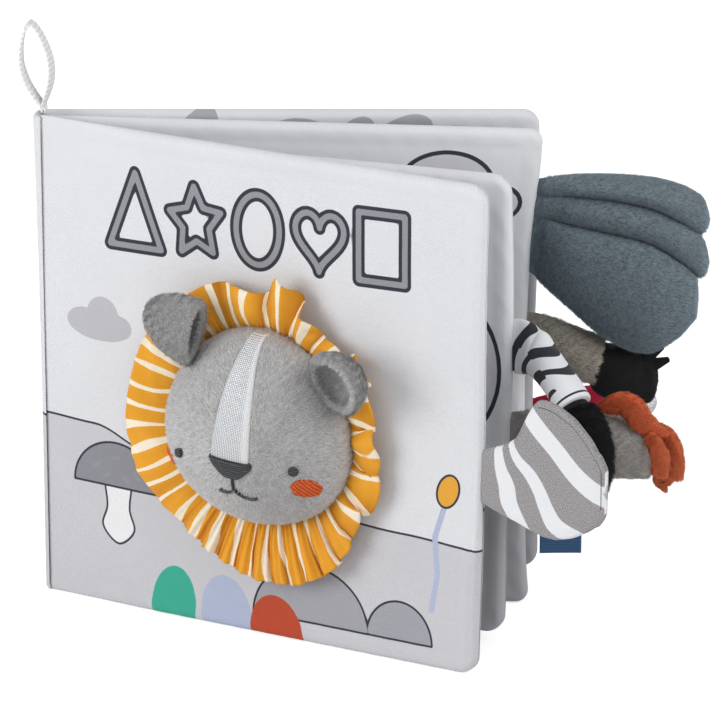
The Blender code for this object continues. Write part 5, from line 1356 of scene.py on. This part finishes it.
glitter, tree, shader = blank_material("glitter_cloth_silver", 0.35)
flakes = node(tree, "ShaderNodeTexVoronoi", {0: in_space(tree), "Scale": 1300.0}, feature="F1")
flakes = flakes.outputs["Color"]
shade = node(tree, "ShaderNodeSeparateXYZ", {0: flakes}).outputs[0]
tree.links.new(shade, shader.inputs["Metallic"])
finish(tree, shader, mixed(tree, shade, linear("#a7abb0"), linear("#f4f5f7")), flakes, 0.9, 0.0003)
TIP_ROUTE = [
    (22.6, 0, 3.6, 2.6, 2.4), (25.4, 0, 3.5, 4.7, 4.5), (32.5, 0, 2.6, 5.6, 5.2), (39.0, 0, 1.5, 5.2, 4.8),
]
made = tube("back_cover", RED_UP, TIP_ROUTE, 40, 40, tip=5.0)
stuffed("red_tail_glitter_tip", "red_tail", made, glitter, "glitter_cloth", "red_tail_tip")


# The book stands on a white sweep in a plain white studio, with one large soft lamp high in
# front on the left, and a weaker one on the right.

FLOOR_HALF, FLOOR_DROP = 3, 0.0002
floor_mesh = bpy.data.meshes.new("floor")
corners = [(-FLOOR_HALF, -FLOOR_HALF, 0), (FLOOR_HALF, -FLOOR_HALF, 0), (FLOOR_HALF, FLOOR_HALF, 0),
           (-FLOOR_HALF, FLOOR_HALF, 0)]
floor_mesh.from_pydata(corners, [], [(0, 1, 2, 3)])
floor = bpy.data.objects.new("floor", floor_mesh)
floor.location = (0, 0, -FLOOR_DROP)
bpy.context.scene.collection.objects.link(floor)
paper, tree, shader = blank_material("white_paper_sweep", 1.0)
shader.inputs["Base Color"].default_value = (0.9, 0.9, 0.9, 1)
rays = node(tree, "ShaderNodeLightPath")
share = math(tree, "MULTIPLY", rays.outputs["Is Camera Ray"], 0.6)
glow = node(tree, "ShaderNodeEmission", {"Color": (1, 1, 1, 1), "Strength": share})
shown = node(tree, "ShaderNodeAddShader", {0: shader.outputs[0], 1: glow.outputs[0]})
tree.links.new(shown.outputs[0], tree.nodes["Material Output"].inputs["Surface"])
floor_mesh.materials.append(paper)

for name, position, size, watts in (
    ("key", (-1.3, -0.8, 0.55), 1.0, 14.0),
    ("fill", (1.1, -0.7, 1.0), 1.2, 10.5),
):
    lamp = bpy.data.lights.new(name, "AREA")
    lamp.shape = "SQUARE"
    lamp.size = size
    lamp.energy = watts
    light = bpy.data.objects.new(name, lamp)
    light.location = position
    x, y, z = LOOK_AT - np.array(position)
    light.rotation_euler = (np.arctan2(np.hypot(x, y), -z), 0, np.arctan2(-x, y))
    bpy.context.scene.collection.objects.link(light)

SEEN_WHITE, LIT_BY_WORLD = 1.0, 0.45
world = bpy.data.worlds.new("studio")
bpy.context.scene.world = world
world.use_nodes = True
tree = world.node_tree
background = tree.nodes["Background"]
rays = node(tree, "ShaderNodeLightPath").outputs
seen = math(tree, "MAXIMUM", rays["Is Camera Ray"], rays["Is Glossy Ray"])
seen = math(tree, "MAXIMUM", seen, rays["Is Transmission Ray"])
strength = stretched(tree, seen, 0.0, 1.0, LIT_BY_WORLD, SEEN_WHITE)
tree.links.new(strength, background.inputs["Strength"])
background.inputs["Color"].default_value = (1, 1, 1, 1)
bpy.context.scene.view_settings.view_transform = "Standard"
